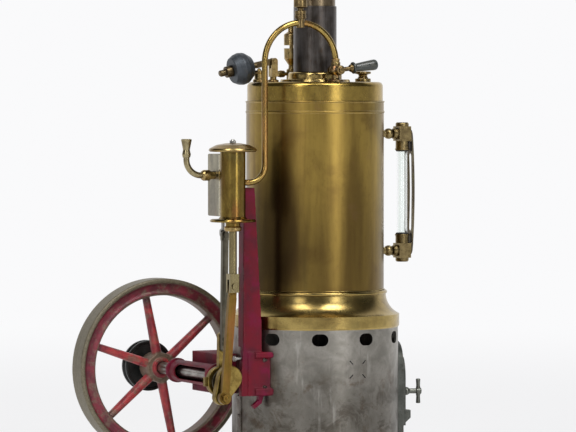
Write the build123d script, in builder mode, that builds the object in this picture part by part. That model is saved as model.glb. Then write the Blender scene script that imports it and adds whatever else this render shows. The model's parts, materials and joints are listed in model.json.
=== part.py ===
from build123d import *

import os
from math import cos, hypot, radians, sin, sqrt

# Model vertical steam engine: an upright boiler over a fired box, with a one-cylinder engine on its side.
# Millimetres. +Z is up, and the origin is the centre of the underside of the base, on the boiler's axis.
# The crankshaft runs along Y on the -X side, and the fire door and the water gauge face +X.

# ---- driving dimensions -------------------------------------------------------------------

BOILER_R = 40.0
BOILER_WALL = 0.9
BOILER_TOP = 231.4
CAP_JOINT_Z = 220.4
FIREBOX_R = 48.3
FIREBOX_WALL = 1.0
FIREBOX_TOP = 89.5
BASE_TOP = 11.0
BASE_FLOOR = 5.0
SKIRT_R = 49.0
SKIRT_BAND_TOP = 97.0
SKIRT_TOP = 111.0
FLUE_R = 11.0
CHIMNEY_TOP = 333.0
SLEEVE_TOP = 275.3
SLEEVE_R = 12.5

BASE_R = 58.0
BOLT_CIRCLE_R = 54.0
BOLT_HOLE_R = 1.7
BOLT_COUNT = 4

VENT_Z = 84.0
VENT_PITCH = 34.0
VENT_FIRST = 134.0
VENT_COUNT = 9

SHAFT_X = -68.0
SHAFT_Z = 63.0
SHAFT_R = 3.5
CYLINDER_Y = -34.5
CRANK_THROW = 12.0
CRANK_REST = 26.0
ROD_LENGTH = 63.5
BORE_R = 5.65
RUNNING_GAP = 0.05

ECCENTRIC_THROW = 2.5
ECCENTRIC_REST = 254.0
SHEAVE_R = 6.2
VALVE_X = -67.6
SPINDLE_Y = -19.9
SPINDLE_R = 1.0

FLYWHEEL_R = 52.7
FLYWHEEL_NEAR_Y = 64.0
FLYWHEEL_WIDTH = 14.8
SPOKES = 6
SPOKE_FIRST = 41.5
PULLEY_R = 15.0
PULLEY_Y = 86.0
SHAFT_END_Y = 97.0

BEARING_NEAR_Y = -14.7
BEARING_FAR_Y = 46.0
HOUSING_R = 6.5
BUSH_R = 5.0

PIPE_R = 1.75
PIPE_Y = -26.4
PIPE_OUTER_X = -44.3
PIPE_INNER_X = 0.6
ARCH_SPRING_Z = 242.7
CHEST_INLET_Z = 174.0

GAUGE_X = 56.7
GAUGE_Z = (132.6, 201.2)
GLASS_R = 3.0

DOOR_LOW, DOOR_HIGH = 31.0, 70.5
FRAME_R = 51.8
DOOR_R = 52.0
DOOR_THICK = 1.4
HINGE_ANGLE = 22.5
LATCH_ANGLE = -14.0
LATCH_Z = 50.8

# ---- derived places -----------------------------------------------------------------------

CRANK_X = SHAFT_X - CRANK_THROW * sin(radians(CRANK_REST))
CRANK_Z = SHAFT_Z - CRANK_THROW * cos(radians(CRANK_REST))
CROSSHEAD_Z = CRANK_Z + sqrt(ROD_LENGTH**2 - (SHAFT_X - CRANK_X) ** 2)
SHEAVE_X = SHAFT_X + ECCENTRIC_THROW * cos(radians(ECCENTRIC_REST))
SHEAVE_Z = SHAFT_Z + ECCENTRIC_THROW * sin(radians(ECCENTRIC_REST))
VALVE_PIN_Z = 144.5
FLYWHEEL_FAR_Y = FLYWHEEL_NEAR_Y + FLYWHEEL_WIDTH
ARCH_R = (PIPE_INNER_X - PIPE_OUTER_X) / 2
UP = (0, 0, 1)
BACK = (0, 1, 0)
RIGHT = (1, 0, 0)


# ---- helpers ------------------------------------------------------------------------------


def turn(outline, centre=(0, 0, 0), along=UP, mode=Mode.ADD):
    """Revolve an outline about the line through centre. A point is (radius, distance, corner rounding)."""
    way = Vector(*along).normalized()
    out = Vector(1, 0, 0) if abs(way.X) < 0.9 else Vector(0, 0, 1)
    out = (out - way * out.dot(way)).normalized()
    points = [(point[0], point[1]) for point in outline]
    rounding = [point[2] if len(point) > 2 else 0 for point in outline]
    with BuildSketch(Plane(origin=centre, x_dir=out, z_dir=out.cross(way))) as profile:
        with BuildLine():
            FilletPolyline(*points, radius=rounding, close=True)
        make_face()
    revolve(profile.sketch, axis=Axis(centre, tuple(way)), mode=mode)


def rod(start, end, radius, mode=Mode.ADD):
    """A plain round bar between two points."""
    reach = Vector(*end) - Vector(*start)
    with BuildSketch(Plane(origin=start, z_dir=reach)) as profile:
        Circle(radius)
    extrude(profile.sketch, amount=reach.length, mode=mode)


def block(low, high, mode=Mode.ADD):
    """A box between two opposite corners."""
    size = [b - a for a, b in zip(low, high)]
    middle = [(a + b) / 2 for a, b in zip(low, high)]
    with Locations(tuple(middle)):
        Box(*size, mode=mode)


def hexagon(centre, along, across, height, mode=Mode.ADD):
    """A hexagonal nut or bolt head of the given size across its flats."""
    with BuildSketch(Plane(origin=centre, z_dir=along)) as profile:
        RegularPolygon(across / 2, 6, major_radius=False)
    extrude(profile.sketch, amount=height, mode=mode)


def bar_between(start, end, width, low_y, high_y, mode=Mode.ADD):
    """A flat bar with round ends in an XZ plane, from start (x, z) to end (x, z), between two Y values."""
    run_x, run_z = end[0] - start[0], end[1] - start[1]
    middle = ((start[0] + end[0]) / 2, high_y, (start[1] + end[1]) / 2)
    with BuildSketch(Plane(origin=middle, x_dir=(run_x, 0, run_z), z_dir=(0, -1, 0))) as profile:
        SlotCenterToCenter(hypot(run_x, run_z), width)
    extrude(profile.sketch, amount=high_y - low_y, mode=mode)


def around(angle, radius, height):
    """A place about the boiler's axis, with angle 0 on -Y and turning toward +X."""
    return (radius * sin(radians(angle)), -radius * cos(radians(angle)), height)


def radial_plane(angle, radius, height):
    """A plane that faces outward from the boiler's axis."""
    outward = around(angle, 1, 0)
    return Plane(origin=around(angle, radius, height), x_dir=around(angle + 90, 1, 0), z_dir=outward)


def keep(piece, label):
    """Name a finished piece and write it."""
    piece.part.label = label
    export_step(piece.part, f"parts/{label}.step")


os.makedirs("parts", exist_ok=True)

# ---- base and firebox ---------------------------------------------------------------------

with BuildPart() as base:
    turn(
        [
            (0, 0),
            (BASE_R, 0),
            (BASE_R, 3.6, 1.0),
            (51.5, 4.4, 1.2),
            (50.4, 8.0, 1.2),
            (49.6, BASE_TOP, 0.6),
            (FIREBOX_R - FIREBOX_WALL, BASE_TOP),
            (FIREBOX_R - FIREBOX_WALL, BASE_FLOOR),
            (0, BASE_FLOOR),
        ]
    )
    with PolarLocations(BOLT_CIRCLE_R, BOLT_COUNT, start_angle=45):
        Hole(BOLT_HOLE_R)
keep(base, "base")

SEAM_ANGLE = -90.0
SLIT_ANGLE = 5.0
SLIT_Z = 67.0
SLIT_SPACING = 4.0
FOOT_SCREWS = [(-60.0, 56.5), (-60.0, 72.5)]
SADDLE_SCREWS = [(-118.5, 56.0), (-118.5, 70.0)]
SCREW_R = 1.3

with BuildPart() as seam:
    with BuildSketch(Plane.XY.offset(BASE_TOP + 0.6)):
        Circle(FIREBOX_R + 0.6)
        Circle(FIREBOX_R, mode=Mode.SUBTRACT)
    extrude(amount=FIREBOX_TOP - BASE_TOP - 1.6)
    with BuildSketch(Plane.YZ.offset(-60)):
        with Locations((0, 50)):
            Rectangle(5, 100)
    extrude(amount=20, mode=Mode.INTERSECT)
    for index in range(7):
        rivet = around(SEAM_ANGLE, FIREBOX_R + 0.3, 17 + index * 11)
        turn([(0, 0), (1.1, 0), (1.1, 0.45), (0.5, 0.95), (0, 0.95)], rivet, around(SEAM_ANGLE, 1, 0))

with BuildPart() as firebox:
    turn(
        [
            (FIREBOX_R - FIREBOX_WALL, BASE_TOP),
            (FIREBOX_R, BASE_TOP),
            (FIREBOX_R, FIREBOX_TOP),
            (45.6, FIREBOX_TOP),
            (45.6, FIREBOX_TOP - 0.9),
            (FIREBOX_R - FIREBOX_WALL, FIREBOX_TOP - 0.9),
        ]
    )
    for index in range(VENT_COUNT):
        with BuildSketch(radial_plane(VENT_FIRST + index * VENT_PITCH, 44, VENT_Z)):
            SlotOverall(9.6, 7.0)
        extrude(amount=8, mode=Mode.SUBTRACT)
    with BuildSketch(Plane.YZ.offset(40)):
        with Locations((0, 46)):
            Rectangle(30, 30)
        with Locations((0, 61)):
            Circle(15)
    extrude(amount=12, mode=Mode.SUBTRACT)
    for side in (-1, 1):
        for rise in (-1, 1):
            with BuildSketch(radial_plane(SLIT_ANGLE + side * 5.0, 44, SLIT_Z + rise * SLIT_SPACING)):
                SlotOverall(3.2, 0.7, rotation=45 * side * rise)
            extrude(amount=8, mode=Mode.SUBTRACT)
    for angle, height in FOOT_SCREWS + SADDLE_SCREWS:
        with BuildSketch(radial_plane(angle, 44, height)):
            Circle(SCREW_R)
        extrude(amount=8, mode=Mode.SUBTRACT)
    add(seam.part)
keep(firebox, "firebox")


SKIRT_WALL = 1.1
with BuildPart() as skirt:
    with BuildSketch(Plane.XZ):
        with BuildLine():
            Polyline(
                (SKIRT_R - SKIRT_WALL, SKIRT_BAND_TOP - 0.6),
                (SKIRT_R - SKIRT_WALL, FIREBOX_TOP + 0.7),
                (FIREBOX_R - FIREBOX_WALL, FIREBOX_TOP),
                (FIREBOX_R + 0.2, FIREBOX_TOP),
                (SKIRT_R, FIREBOX_TOP + 0.9),
                (SKIRT_R, SKIRT_BAND_TOP),
            )
            ThreePointArc((SKIRT_R, SKIRT_BAND_TOP), (43.6, 101.4), (41.2, 108.6))
            ThreePointArc((41.2, 108.6), (41.9, 109.8), (41.0, 110.8))
            Polyline((41.0, 110.8), (BOILER_R, SKIRT_TOP), (BOILER_R, 107.4))
            ThreePointArc((BOILER_R, 107.4), (42.6, 100.4), (SKIRT_R - SKIRT_WALL, SKIRT_BAND_TOP - 0.6))
        make_face()
    revolve(axis=Axis.Z)
keep(skirt, "skirt")

# ---- boiler -------------------------------------------------------------------------------

INNER_R = BOILER_R - BOILER_WALL
BEAD = 0.4
with BuildPart() as boiler_shell:
    turn(
        [
            (INNER_R, 104),
            (BOILER_R, 104),
            (BOILER_R, 213.2),
            (BOILER_R + BEAD, 213.7, 0.2),
            (BOILER_R + BEAD, 214.3, 0.2),
            (BOILER_R, 214.8),
            (BOILER_R, CAP_JOINT_Z - 1.1),
            (BOILER_R + BEAD, CAP_JOINT_Z - 0.7, 0.2),
            (BOILER_R + BEAD, CAP_JOINT_Z - 0.2, 0.15),
            (BOILER_R - 0.1, CAP_JOINT_Z),
            (INNER_R, CAP_JOINT_Z),
        ]
    )
    for height in GAUGE_Z:
        with BuildSketch(Plane.YZ.offset(38)):
            with Locations((0, height)):
                Circle(1.5)
        extrude(amount=4, mode=Mode.SUBTRACT)
keep(boiler_shell, "boiler_shell")

VALVE_SPOT = (PIPE_INNER_X, PIPE_Y)
SAFETY_SPOT = (-33.0, 6.0)
POST_SPOT = (-24.0, 6.0)
WHISTLE_SPOT = (-2.0, 28.0)
FILLER_SPOT = (31.0, 0.0)
STEM_R = 1.6
FILLER_BORE_R = 2.6
CAP_R = BOILER_R - 0.6
with BuildPart() as boiler_cap:
    turn(
        [
            (CAP_R, CAP_JOINT_Z),
            (CAP_R, BOILER_TOP, 2.6),
            (FLUE_R, BOILER_TOP),
            (FLUE_R, BOILER_TOP - 1.2),
            (CAP_R - 1.0, BOILER_TOP - 1.2, 1.6),
            (CAP_R - 1.0, CAP_JOINT_Z),
        ]
    )
    for spot in (VALVE_SPOT, SAFETY_SPOT, POST_SPOT, WHISTLE_SPOT):
        with Locations((spot[0], spot[1], BOILER_TOP)):
            Hole(STEM_R, depth=2)
    with Locations((FILLER_SPOT[0], FILLER_SPOT[1], BOILER_TOP)):
        Hole(FILLER_BORE_R + 0.9, depth=2)
keep(boiler_cap, "boiler_cap")

with BuildPart() as boiler_flue:
    turn(
        [
            (FLUE_R - 0.8, 103),
            (FLUE_R, 103),
            (FLUE_R, 105.0),
            (INNER_R, 105.0),
            (INNER_R, 112.0),
            (INNER_R - 0.9, 112.0),
            (INNER_R - 0.9, 106.2),
            (FLUE_R, 106.2),
            (FLUE_R, 243),
            (FLUE_R - 0.8, 243),
        ]
    )
keep(boiler_flue, "boiler_flue")

# ---- chimney ------------------------------------------------------------------------------

SLEEVE_WALL = 0.7
UPPER_R = SLEEVE_R - SLEEVE_WALL
PLATE_TOP = BOILER_TOP + 1.5
RING_TOP = 237.2
with BuildPart() as chimney_base:
    turn(
        [
            (FLUE_R, BOILER_TOP),
            (20.5, BOILER_TOP),
            (20.0, PLATE_TOP, 0.5),
            (15.6, PLATE_TOP, 0.3),
            (15.6, RING_TOP, 1.7),
            (SLEEVE_R, RING_TOP),
            (SLEEVE_R, PLATE_TOP),
            (FLUE_R, PLATE_TOP),
        ]
    )
keep(chimney_base, "chimney_base")

with BuildPart() as chimney_sleeve:
    turn([(UPPER_R, PLATE_TOP), (SLEEVE_R, PLATE_TOP), (SLEEVE_R, SLEEVE_TOP, 0.3), (UPPER_R, SLEEVE_TOP)])
keep(chimney_sleeve, "chimney_sleeve")

CROWN_Z = CHIMNEY_TOP - 12
with BuildPart() as chimney_upper:
    turn(
        [
            (FLUE_R, PLATE_TOP),
            (UPPER_R, PLATE_TOP),
            (UPPER_R, CROWN_Z),
            (13.0, CROWN_Z, 0.5),
            (13.0, CROWN_Z + 2, 0.5),
            (12.5, CROWN_Z + 4, 1.0),
            (15.8, CHIMNEY_TOP - 2.2, 0.6),
            (15.8, CHIMNEY_TOP, 0.9),
            (13.6, CHIMNEY_TOP, 0.6),
            (FLUE_R, CROWN_Z + 3),
        ]
    )
keep(chimney_upper, "chimney_upper")

# ---- spirit burner in the firebox ---------------------------------------------------------

BURNER_LOW, BURNER_HIGH = BASE_FLOOR, 17.0
WICK_XS = (-14.0, 0.0, 14.0)
with BuildPart() as burner_tank:
    with BuildSketch(Plane.XY.offset(BURNER_LOW)):
        RectangleRounded(48, 26, 6)
    extrude(amount=BURNER_HIGH - BURNER_LOW)
    fillet(burner_tank.faces().sort_by(Axis.Z)[-1].edges(), 1.5)
    for x in WICK_XS:
        with Locations((x, 0, (BURNER_HIGH + 28) / 2)):
            Cylinder(4.2, 28 - BURNER_HIGH)
        with Locations((x, 0, 28)):
            Hole(3.6, depth=8)
keep(burner_tank, "burner_tank")

with BuildPart() as burner_wicks:
    for x in WICK_XS:
        turn([(0, 20), (3.6, 20), (3.6, 30.2, 0.8), (2.4, 31.6, 0.6), (0, 31.9)], (x, 0, 0))
keep(burner_wicks, "burner_wicks")

# ---- fire door ----------------------------------------------------------------------------

FRAME_HALF = 19.6
OPENING_HALF = 15.0


def arch_plate(half, low, spring, inner_r, outer_r):
    """A plate with a round top, bent about the boiler's axis on the +X side."""
    with BuildSketch(Plane.YZ.offset(40)) as outline:
        with Locations((0, (low + spring) / 2)):
            Rectangle(2 * half, spring - low)
        with Locations((0, spring)):
            Circle(half)
        with Locations((0, low - 50)):
            Rectangle(200, 100, mode=Mode.SUBTRACT)
    extrude(outline.sketch, amount=30)
    turn([(inner_r, 0), (outer_r, 0), (outer_r, 120), (inner_r, 120)], mode=Mode.INTERSECT)


HINGE_R = FRAME_R + 1.85
HINGE_X = HINGE_R * cos(radians(HINGE_ANGLE))
HINGE_Y = HINGE_R * sin(radians(HINGE_ANGLE))
HINGE_PIN_R = 0.8
KNUCKLE_R = 1.6
KNUCKLE_ZS = (38.0, 44.0, 58.0, 64.0)

with BuildPart() as door_frame:
    arch_plate(FRAME_HALF, 13.0, 61.0, FIREBOX_R, FRAME_R)
    with BuildSketch(Plane.YZ.offset(40)):
        with Locations((0, 46)):
            Rectangle(2 * OPENING_HALF, 30)
        with Locations((0, 61)):
            Circle(OPENING_HALF)
    extrude(amount=20, mode=Mode.SUBTRACT)
    for low, high in (KNUCKLE_ZS[0:2], KNUCKLE_ZS[2:4]):
        turn(
            [(HINGE_PIN_R, low), (KNUCKLE_R, low), (KNUCKLE_R, high), (HINGE_PIN_R, high)],
            (HINGE_X, HINGE_Y, 0),
        )
        block((HINGE_X - 3.4, HINGE_Y - 1.0, low), (HINGE_X - 1.2, HINGE_Y + 0.9, high))
keep(door_frame, "door_frame")

with BuildPart() as hinge_pin:
    pin_low, pin_high = KNUCKLE_ZS[0] - 0.8, KNUCKLE_ZS[3] + 0.8
    turn(
        [
            (0, pin_low),
            (1.3, pin_low, 0.3),
            (1.3, KNUCKLE_ZS[0]),
            (HINGE_PIN_R, KNUCKLE_ZS[0]),
            (HINGE_PIN_R, KNUCKLE_ZS[3]),
            (1.3, KNUCKLE_ZS[3]),
            (1.3, pin_high, 0.3),
            (0, pin_high),
        ],
        (HINGE_X, HINGE_Y, 0),
    )
keep(hinge_pin, "door_hinge_pin")

LATCH_BEARING = 90 + LATCH_ANGLE
LATCH_STEM_R = 1.3
DOOR_HALF = 17.0
with BuildPart() as fire_door:
    arch_plate(DOOR_HALF, DOOR_LOW, DOOR_HIGH - 13.0, DOOR_R, DOOR_R + DOOR_THICK)
    block((40, -30, DOOR_HIGH), (60, 30, DOOR_HIGH + 20), mode=Mode.SUBTRACT)
    block((HINGE_X + 0.1, 16.8, KNUCKLE_ZS[1] + 0.2), (HINGE_X + 1.5, HINGE_Y - 0.4, KNUCKLE_ZS[2] - 0.2))
    knuckle_low, knuckle_high = KNUCKLE_ZS[1] + 0.2, KNUCKLE_ZS[2] - 0.2
    turn(
        [(0, knuckle_low), (KNUCKLE_R, knuckle_low), (KNUCKLE_R, knuckle_high), (0, knuckle_high)],
        (HINGE_X, HINGE_Y, 0),
    )
    rod((HINGE_X, HINGE_Y, 30), (HINGE_X, HINGE_Y, 70), HINGE_PIN_R + RUNNING_GAP, mode=Mode.SUBTRACT)
    rod(
        around(LATCH_BEARING, 45, LATCH_Z),
        around(LATCH_BEARING, 58, LATCH_Z),
        LATCH_STEM_R + RUNNING_GAP,
        mode=Mode.SUBTRACT,
    )
    with BuildSketch(radial_plane(LATCH_BEARING, DOOR_R + 0.8, 36)) as pull_foot:
        Rectangle(5.0, 8.4)
    with BuildSketch(radial_plane(LATCH_BEARING, DOOR_R + 4.6, 37.6)) as pull_tip:
        Rectangle(5.0, 4.4)
    loft([pull_foot.sketch, pull_tip.sketch])
keep(fire_door, "fire_door")

with BuildPart() as door_latch:
    outward = around(LATCH_BEARING, 1, 0)
    turn(
        [
            (0, 50.2),
            (2.2, 50.2),
            (2.2, 51.7),
            (LATCH_STEM_R, 51.7),
            (LATCH_STEM_R, 53.8),
            (2.5, 53.8, 0.4),
            (2.3, 55.2, 0.5),
            (1.5, 56.4),
            (1.5, 60.2),
            (1.9, 60.6),
            (1.9, 63.4, 0.6),
            (0, 63.4),
        ],
        (0, 0, LATCH_Z),
        outward,
    )
    bar_x, bar_y, bar_z = around(LATCH_BEARING, 61.6, LATCH_Z)
    turn(
        [
            (0, -7.2),
            (1.35, -7.2, 0.5),
            (1.1, -3.2, 0.6),
            (1.6, 0, 1.5),
            (1.1, 3.2, 0.6),
            (1.35, 7.2, 0.5),
            (0, 7.2),
        ],
        (bar_x, bar_y, bar_z),
    )
keep(door_latch, "door_latch")

# ---- column that carries the cylinder -----------------------------------------------------

COLUMN_FRONT, COLUMN_REAR = -25.6, -18.0
FOOT_PANEL, FOOT_RIB = -26.4, -28.0
COLUMN_TOP = 171.0
STRAP_CLEARANCE_Y = -21.7
CHEST_HALF_X = 5.3
with BuildPart() as column:
    with BuildSketch(Plane.XZ.offset(-COLUMN_REAR)):
        with BuildLine():
            Polyline(
                (-58.5, 52),
                (-58.5, 66),
                (-57.4, 80),
                (-57.0, COLUMN_TOP),
                (-50.2, COLUMN_TOP),
                (-45.8, 92),
                (-45.8, 77),
                (-38.0, 77),
                (-38.0, 52),
                close=True,
            )
        make_face()
    extrude(amount=COLUMN_REAR - COLUMN_FRONT)
    block((-54.6, FOOT_PANEL, 52.0), (-36.0, COLUMN_FRONT, 77.0))
    for low, high in ((52.0, 56.4), (73.6, 77.0)):
        block((-50.6, FOOT_RIB, low), (-36.0, FOOT_PANEL, high))
    fillet(column.edges().filter_by(Axis.X).filter_by_position(Axis.Y, FOOT_RIB - 0.1, FOOT_RIB + 0.1), 0.7)
    block((-62.7, COLUMN_FRONT, 158.0), (-56.0, COLUMN_REAR, 168.0))
    block((-58.6, STRAP_CLEARANCE_Y, 50), (-53.5, COLUMN_REAR, 80), mode=Mode.SUBTRACT)
    rod((0, 0, 40), (0, 0, 110), FIREBOX_R, mode=Mode.SUBTRACT)
    rod((0, 0, 90), (0, 0, 112), SKIRT_R + 0.15, mode=Mode.SUBTRACT)
    with BuildSketch(Plane.XZ.offset(25.2)) as hook_outline:
        with BuildLine():
            Polyline(
                (-47.6, 52),
                (-47.6, 49.4),
                (-51.4, 46.4),
                (-50.0, 44.4),
                (-45.6, 47.6),
                (-44.2, 52),
                close=True,
            )
        make_face()
    extrude(hook_outline.sketch, amount=-3.4)
    for angle, height in FOOT_SCREWS:
        rod(around(angle, 44, height), around(angle, 52.5, height), SCREW_R, mode=Mode.SUBTRACT)
keep(column, "column")

# ---- crankshaft bearing -------------------------------------------------------------------

WINDOW_NEAR, WINDOW_FAR = -9.0, 36.0
PAD_NEAR, PAD_FAR = 3.0, 40.0
PAD_HALF = 11.5
with BuildPart() as bearing_bracket:
    block((-60.5, PAD_NEAR, SHAFT_Z - PAD_HALF), (-20.0, PAD_FAR, SHAFT_Z + PAD_HALF))
    block((-56.5, PAD_NEAR + 3, SHAFT_Z - 8.5), (-10.0, PAD_FAR - 3, SHAFT_Z + 8.5), mode=Mode.SUBTRACT)
    block((-64.0, PAD_NEAR + 1, SHAFT_Z - 4.6), (-60.5, PAD_FAR - 1, SHAFT_Z + 4.6))
    rod((0, 0, 40), (0, 0, 90), FIREBOX_R, mode=Mode.SUBTRACT)
    turn(
        [
            (0, BEARING_NEAR_Y),
            (7.4, BEARING_NEAR_Y, 0.7),
            (7.4, BEARING_NEAR_Y + 3, 0.5),
            (HOUSING_R, BEARING_NEAR_Y + 4.5),
            (HOUSING_R - 0.2, BEARING_FAR_Y - 4.5),
            (7.2, BEARING_FAR_Y - 3, 0.5),
            (7.2, BEARING_FAR_Y, 0.7),
            (0, BEARING_FAR_Y),
        ],
        (SHAFT_X, 0, SHAFT_Z),
        BACK,
    )
    rod((SHAFT_X, BEARING_NEAR_Y, SHAFT_Z), (SHAFT_X, BEARING_FAR_Y, SHAFT_Z), BUSH_R, mode=Mode.SUBTRACT)
    with BuildSketch(Plane.YZ.offset(SHAFT_X - 12)):
        with Locations(((WINDOW_NEAR + WINDOW_FAR) / 2, SHAFT_Z)):
            SlotOverall(WINDOW_FAR - WINDOW_NEAR, 8.4)
    extrude(amount=12, mode=Mode.SUBTRACT)
    for angle, height in SADDLE_SCREWS:
        rod(around(angle, 44, height), around(angle, 52.5, height), SCREW_R, mode=Mode.SUBTRACT)
keep(bearing_bracket, "bearing_bracket")

BUSH_LENGTH = 5.0
with BuildPart() as bearing_bushes:
    for start in (BEARING_NEAR_Y, BEARING_FAR_Y - BUSH_LENGTH):
        turn(
            [
                (SHAFT_R + RUNNING_GAP, start),
                (BUSH_R, start),
                (BUSH_R, start + BUSH_LENGTH),
                (SHAFT_R + RUNNING_GAP, start + BUSH_LENGTH),
            ],
            (SHAFT_X, 0, SHAFT_Z),
            BACK,
        )
keep(bearing_bushes, "bearing_bushes")

OIL_SCREW_REACH = 4.4
with BuildPart() as bracket_screws:
    for angle, height in FOOT_SCREWS + SADDLE_SCREWS:
        rod(around(angle, 46.2, height), around(angle, 52.5, height), SCREW_R)
        hexagon(around(angle, 44.4, height), around(angle, 1, 0), 5.0, 1.9)
    rod((0, 0, 40), (0, 0, 90), 44.6, mode=Mode.SUBTRACT)
    turn(
        [(0, 0), (1.7, 0, 0.3), (1.7, 1.1), (0.9, 1.1), (0.9, OIL_SCREW_REACH), (0, OIL_SCREW_REACH)],
        (-58.1 - OIL_SCREW_REACH, -23.4, 73.5),
        RIGHT,
    )
keep(bracket_screws, "bracket_screws")

# ---- crankshaft and wheels ----------------------------------------------------------------

WEB_FRONT, WEB_REAR = -31.6, -27.0
SHAFT_CENTRE = (SHAFT_X, 0, SHAFT_Z)
with BuildPart() as crankshaft:
    turn(
        [(0, WEB_REAR), (SHAFT_R, WEB_REAR), (SHAFT_R, SHAFT_END_Y, 0.7), (0, SHAFT_END_Y)],
        SHAFT_CENTRE,
        BACK,
    )
keep(crankshaft, "crankshaft")

PIN_R = 2.0
with BuildPart() as crank_web:
    with BuildSketch(Plane.XZ.offset(-WEB_REAR)):
        with Locations((SHAFT_X, SHAFT_Z)):
            Circle(7.2)
        with Locations((CRANK_X, CRANK_Z)):
            Circle(4.4)
        make_hull()
    extrude(amount=WEB_REAR - WEB_FRONT)
    fillet(crank_web.faces().sort_by(Axis.Y)[0].edges(), 0.6)
    rod((CRANK_X, WEB_FRONT, CRANK_Z), (CRANK_X, WEB_FRONT - 1.1, CRANK_Z), PIN_R)
    rod((SHAFT_X, WEB_FRONT, SHAFT_Z), (SHAFT_X, WEB_FRONT - 0.4, SHAFT_Z), 2.6)
keep(crank_web, "crank_web")

STRAP_FRONT, STRAP_REAR = -21.2, -16.8
FLANGE_REACH = 6.8
with BuildPart() as sheave:
    turn(
        [
            (0, STRAP_FRONT - 1.5),
            (FLANGE_REACH, STRAP_FRONT - 1.5, 0.3),
            (FLANGE_REACH, STRAP_FRONT - 0.15),
            (SHEAVE_R, STRAP_FRONT - 0.15),
            (SHEAVE_R, STRAP_REAR + 0.15),
            (FLANGE_REACH, STRAP_REAR + 0.15),
            (FLANGE_REACH, STRAP_REAR + 1.6, 0.3),
            (0, STRAP_REAR + 1.6),
        ],
        (SHEAVE_X, 0, SHEAVE_Z),
        BACK,
    )
    rod((SHAFT_X, STRAP_REAR, SHAFT_Z), (SHAFT_X, BEARING_NEAR_Y - 0.3, SHAFT_Z), 5.0)
    rod((SHAFT_X, -30, SHAFT_Z), (SHAFT_X, 0, SHAFT_Z), SHAFT_R, mode=Mode.SUBTRACT)
keep(sheave, "eccentric_sheave")

RIM_INNER_R = 42.7
HUB_R = 8.8
HUB_NEAR, HUB_FAR = 67.8, 81.0
WHEEL_MID = (FLYWHEEL_NEAR_Y + FLYWHEEL_FAR_Y) / 2
with BuildPart() as flywheel:
    turn(
        [
            (FLYWHEEL_R - 2.6, FLYWHEEL_NEAR_Y),
            (FLYWHEEL_R - 0.7, FLYWHEEL_NEAR_Y),
            (FLYWHEEL_R, FLYWHEEL_NEAR_Y + 0.7, 0.3),
            (FLYWHEEL_R, WHEEL_MID - 0.35),
            (FLYWHEEL_R - 0.45, WHEEL_MID),
            (FLYWHEEL_R, WHEEL_MID + 0.35),
            (FLYWHEEL_R, FLYWHEEL_FAR_Y - 0.7, 0.3),
            (FLYWHEEL_R - 0.7, FLYWHEEL_FAR_Y),
            (FLYWHEEL_R - 2.6, FLYWHEEL_FAR_Y),
            (FLYWHEEL_R - 3.4, FLYWHEEL_FAR_Y - 1.8, 0.5),
            (45.6, FLYWHEEL_FAR_Y - 2.0, 0.5),
            (44.6, FLYWHEEL_FAR_Y - 1.0, 0.5),
            (RIM_INNER_R + 0.6, FLYWHEEL_FAR_Y - 1.0, 0.5),
            (RIM_INNER_R, FLYWHEEL_FAR_Y - 2.6, 0.5),
            (RIM_INNER_R, FLYWHEEL_NEAR_Y + 2.6, 0.5),
            (RIM_INNER_R + 0.6, FLYWHEEL_NEAR_Y + 1.0, 0.5),
            (44.6, FLYWHEEL_NEAR_Y + 1.0, 0.5),
            (45.6, FLYWHEEL_NEAR_Y + 2.0, 0.5),
            (FLYWHEEL_R - 3.4, FLYWHEEL_NEAR_Y + 1.8, 0.5),
        ],
        SHAFT_CENTRE,
        BACK,
    )
    for index in range(SPOKES):
        tilt = radians(SPOKE_FIRST + index * 360 / SPOKES)
        outward = (cos(tilt), 0, sin(tilt))
        root = (SHAFT_X + 6 * cos(tilt), WHEEL_MID, SHAFT_Z + 6 * sin(tilt))
        tip = (SHAFT_X + 43.6 * cos(tilt), WHEEL_MID, SHAFT_Z + 43.6 * sin(tilt))
        with BuildSketch(Plane(origin=root, x_dir=BACK, z_dir=outward)) as spoke_root:
            Ellipse(3.7, 2.9)
        with BuildSketch(Plane(origin=tip, x_dir=BACK, z_dir=outward)) as spoke_tip:
            Ellipse(3.0, 2.1)
        loft([spoke_root.sketch, spoke_tip.sketch])
    turn(
        [
            (0, HUB_NEAR - 1.4),
            (5.6, HUB_NEAR - 1.4, 0.5),
            (5.8, HUB_NEAR),
            (HUB_R, HUB_NEAR, 1.0),
            (HUB_R, HUB_FAR, 1.0),
            (0, HUB_FAR),
        ],
        SHAFT_CENTRE,
        BACK,
    )
    rod((SHAFT_X, 60, SHAFT_Z), (SHAFT_X, 90, SHAFT_Z), SHAFT_R, mode=Mode.SUBTRACT)
keep(flywheel, "flywheel")

with BuildPart() as pulley:
    turn(
        [
            (SHAFT_R, PULLEY_Y - 3.6),
            (6.2, PULLEY_Y - 3.6, 0.5),
            (6.4, PULLEY_Y + 0.9),
            (13.0, PULLEY_Y + 0.9),
            (13.6, PULLEY_Y),
            (PULLEY_R, PULLEY_Y, 0.5),
            (PULLEY_R, PULLEY_Y + 1.6, 0.4),
            (11.6, PULLEY_Y + 3.5, 0.6),
            (PULLEY_R, PULLEY_Y + 5.4, 0.4),
            (PULLEY_R, PULLEY_Y + 7.0, 0.5),
            (13.6, PULLEY_Y + 7.0),
            (13.0, PULLEY_Y + 6.1),
            (6.4, PULLEY_Y + 6.1),
            (6.2, PULLEY_Y + 9.0, 0.5),
            (SHAFT_R, PULLEY_Y + 9.0),
        ],
        SHAFT_CENTRE,
        BACK,
    )
keep(pulley, "drive_pulley")

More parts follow.
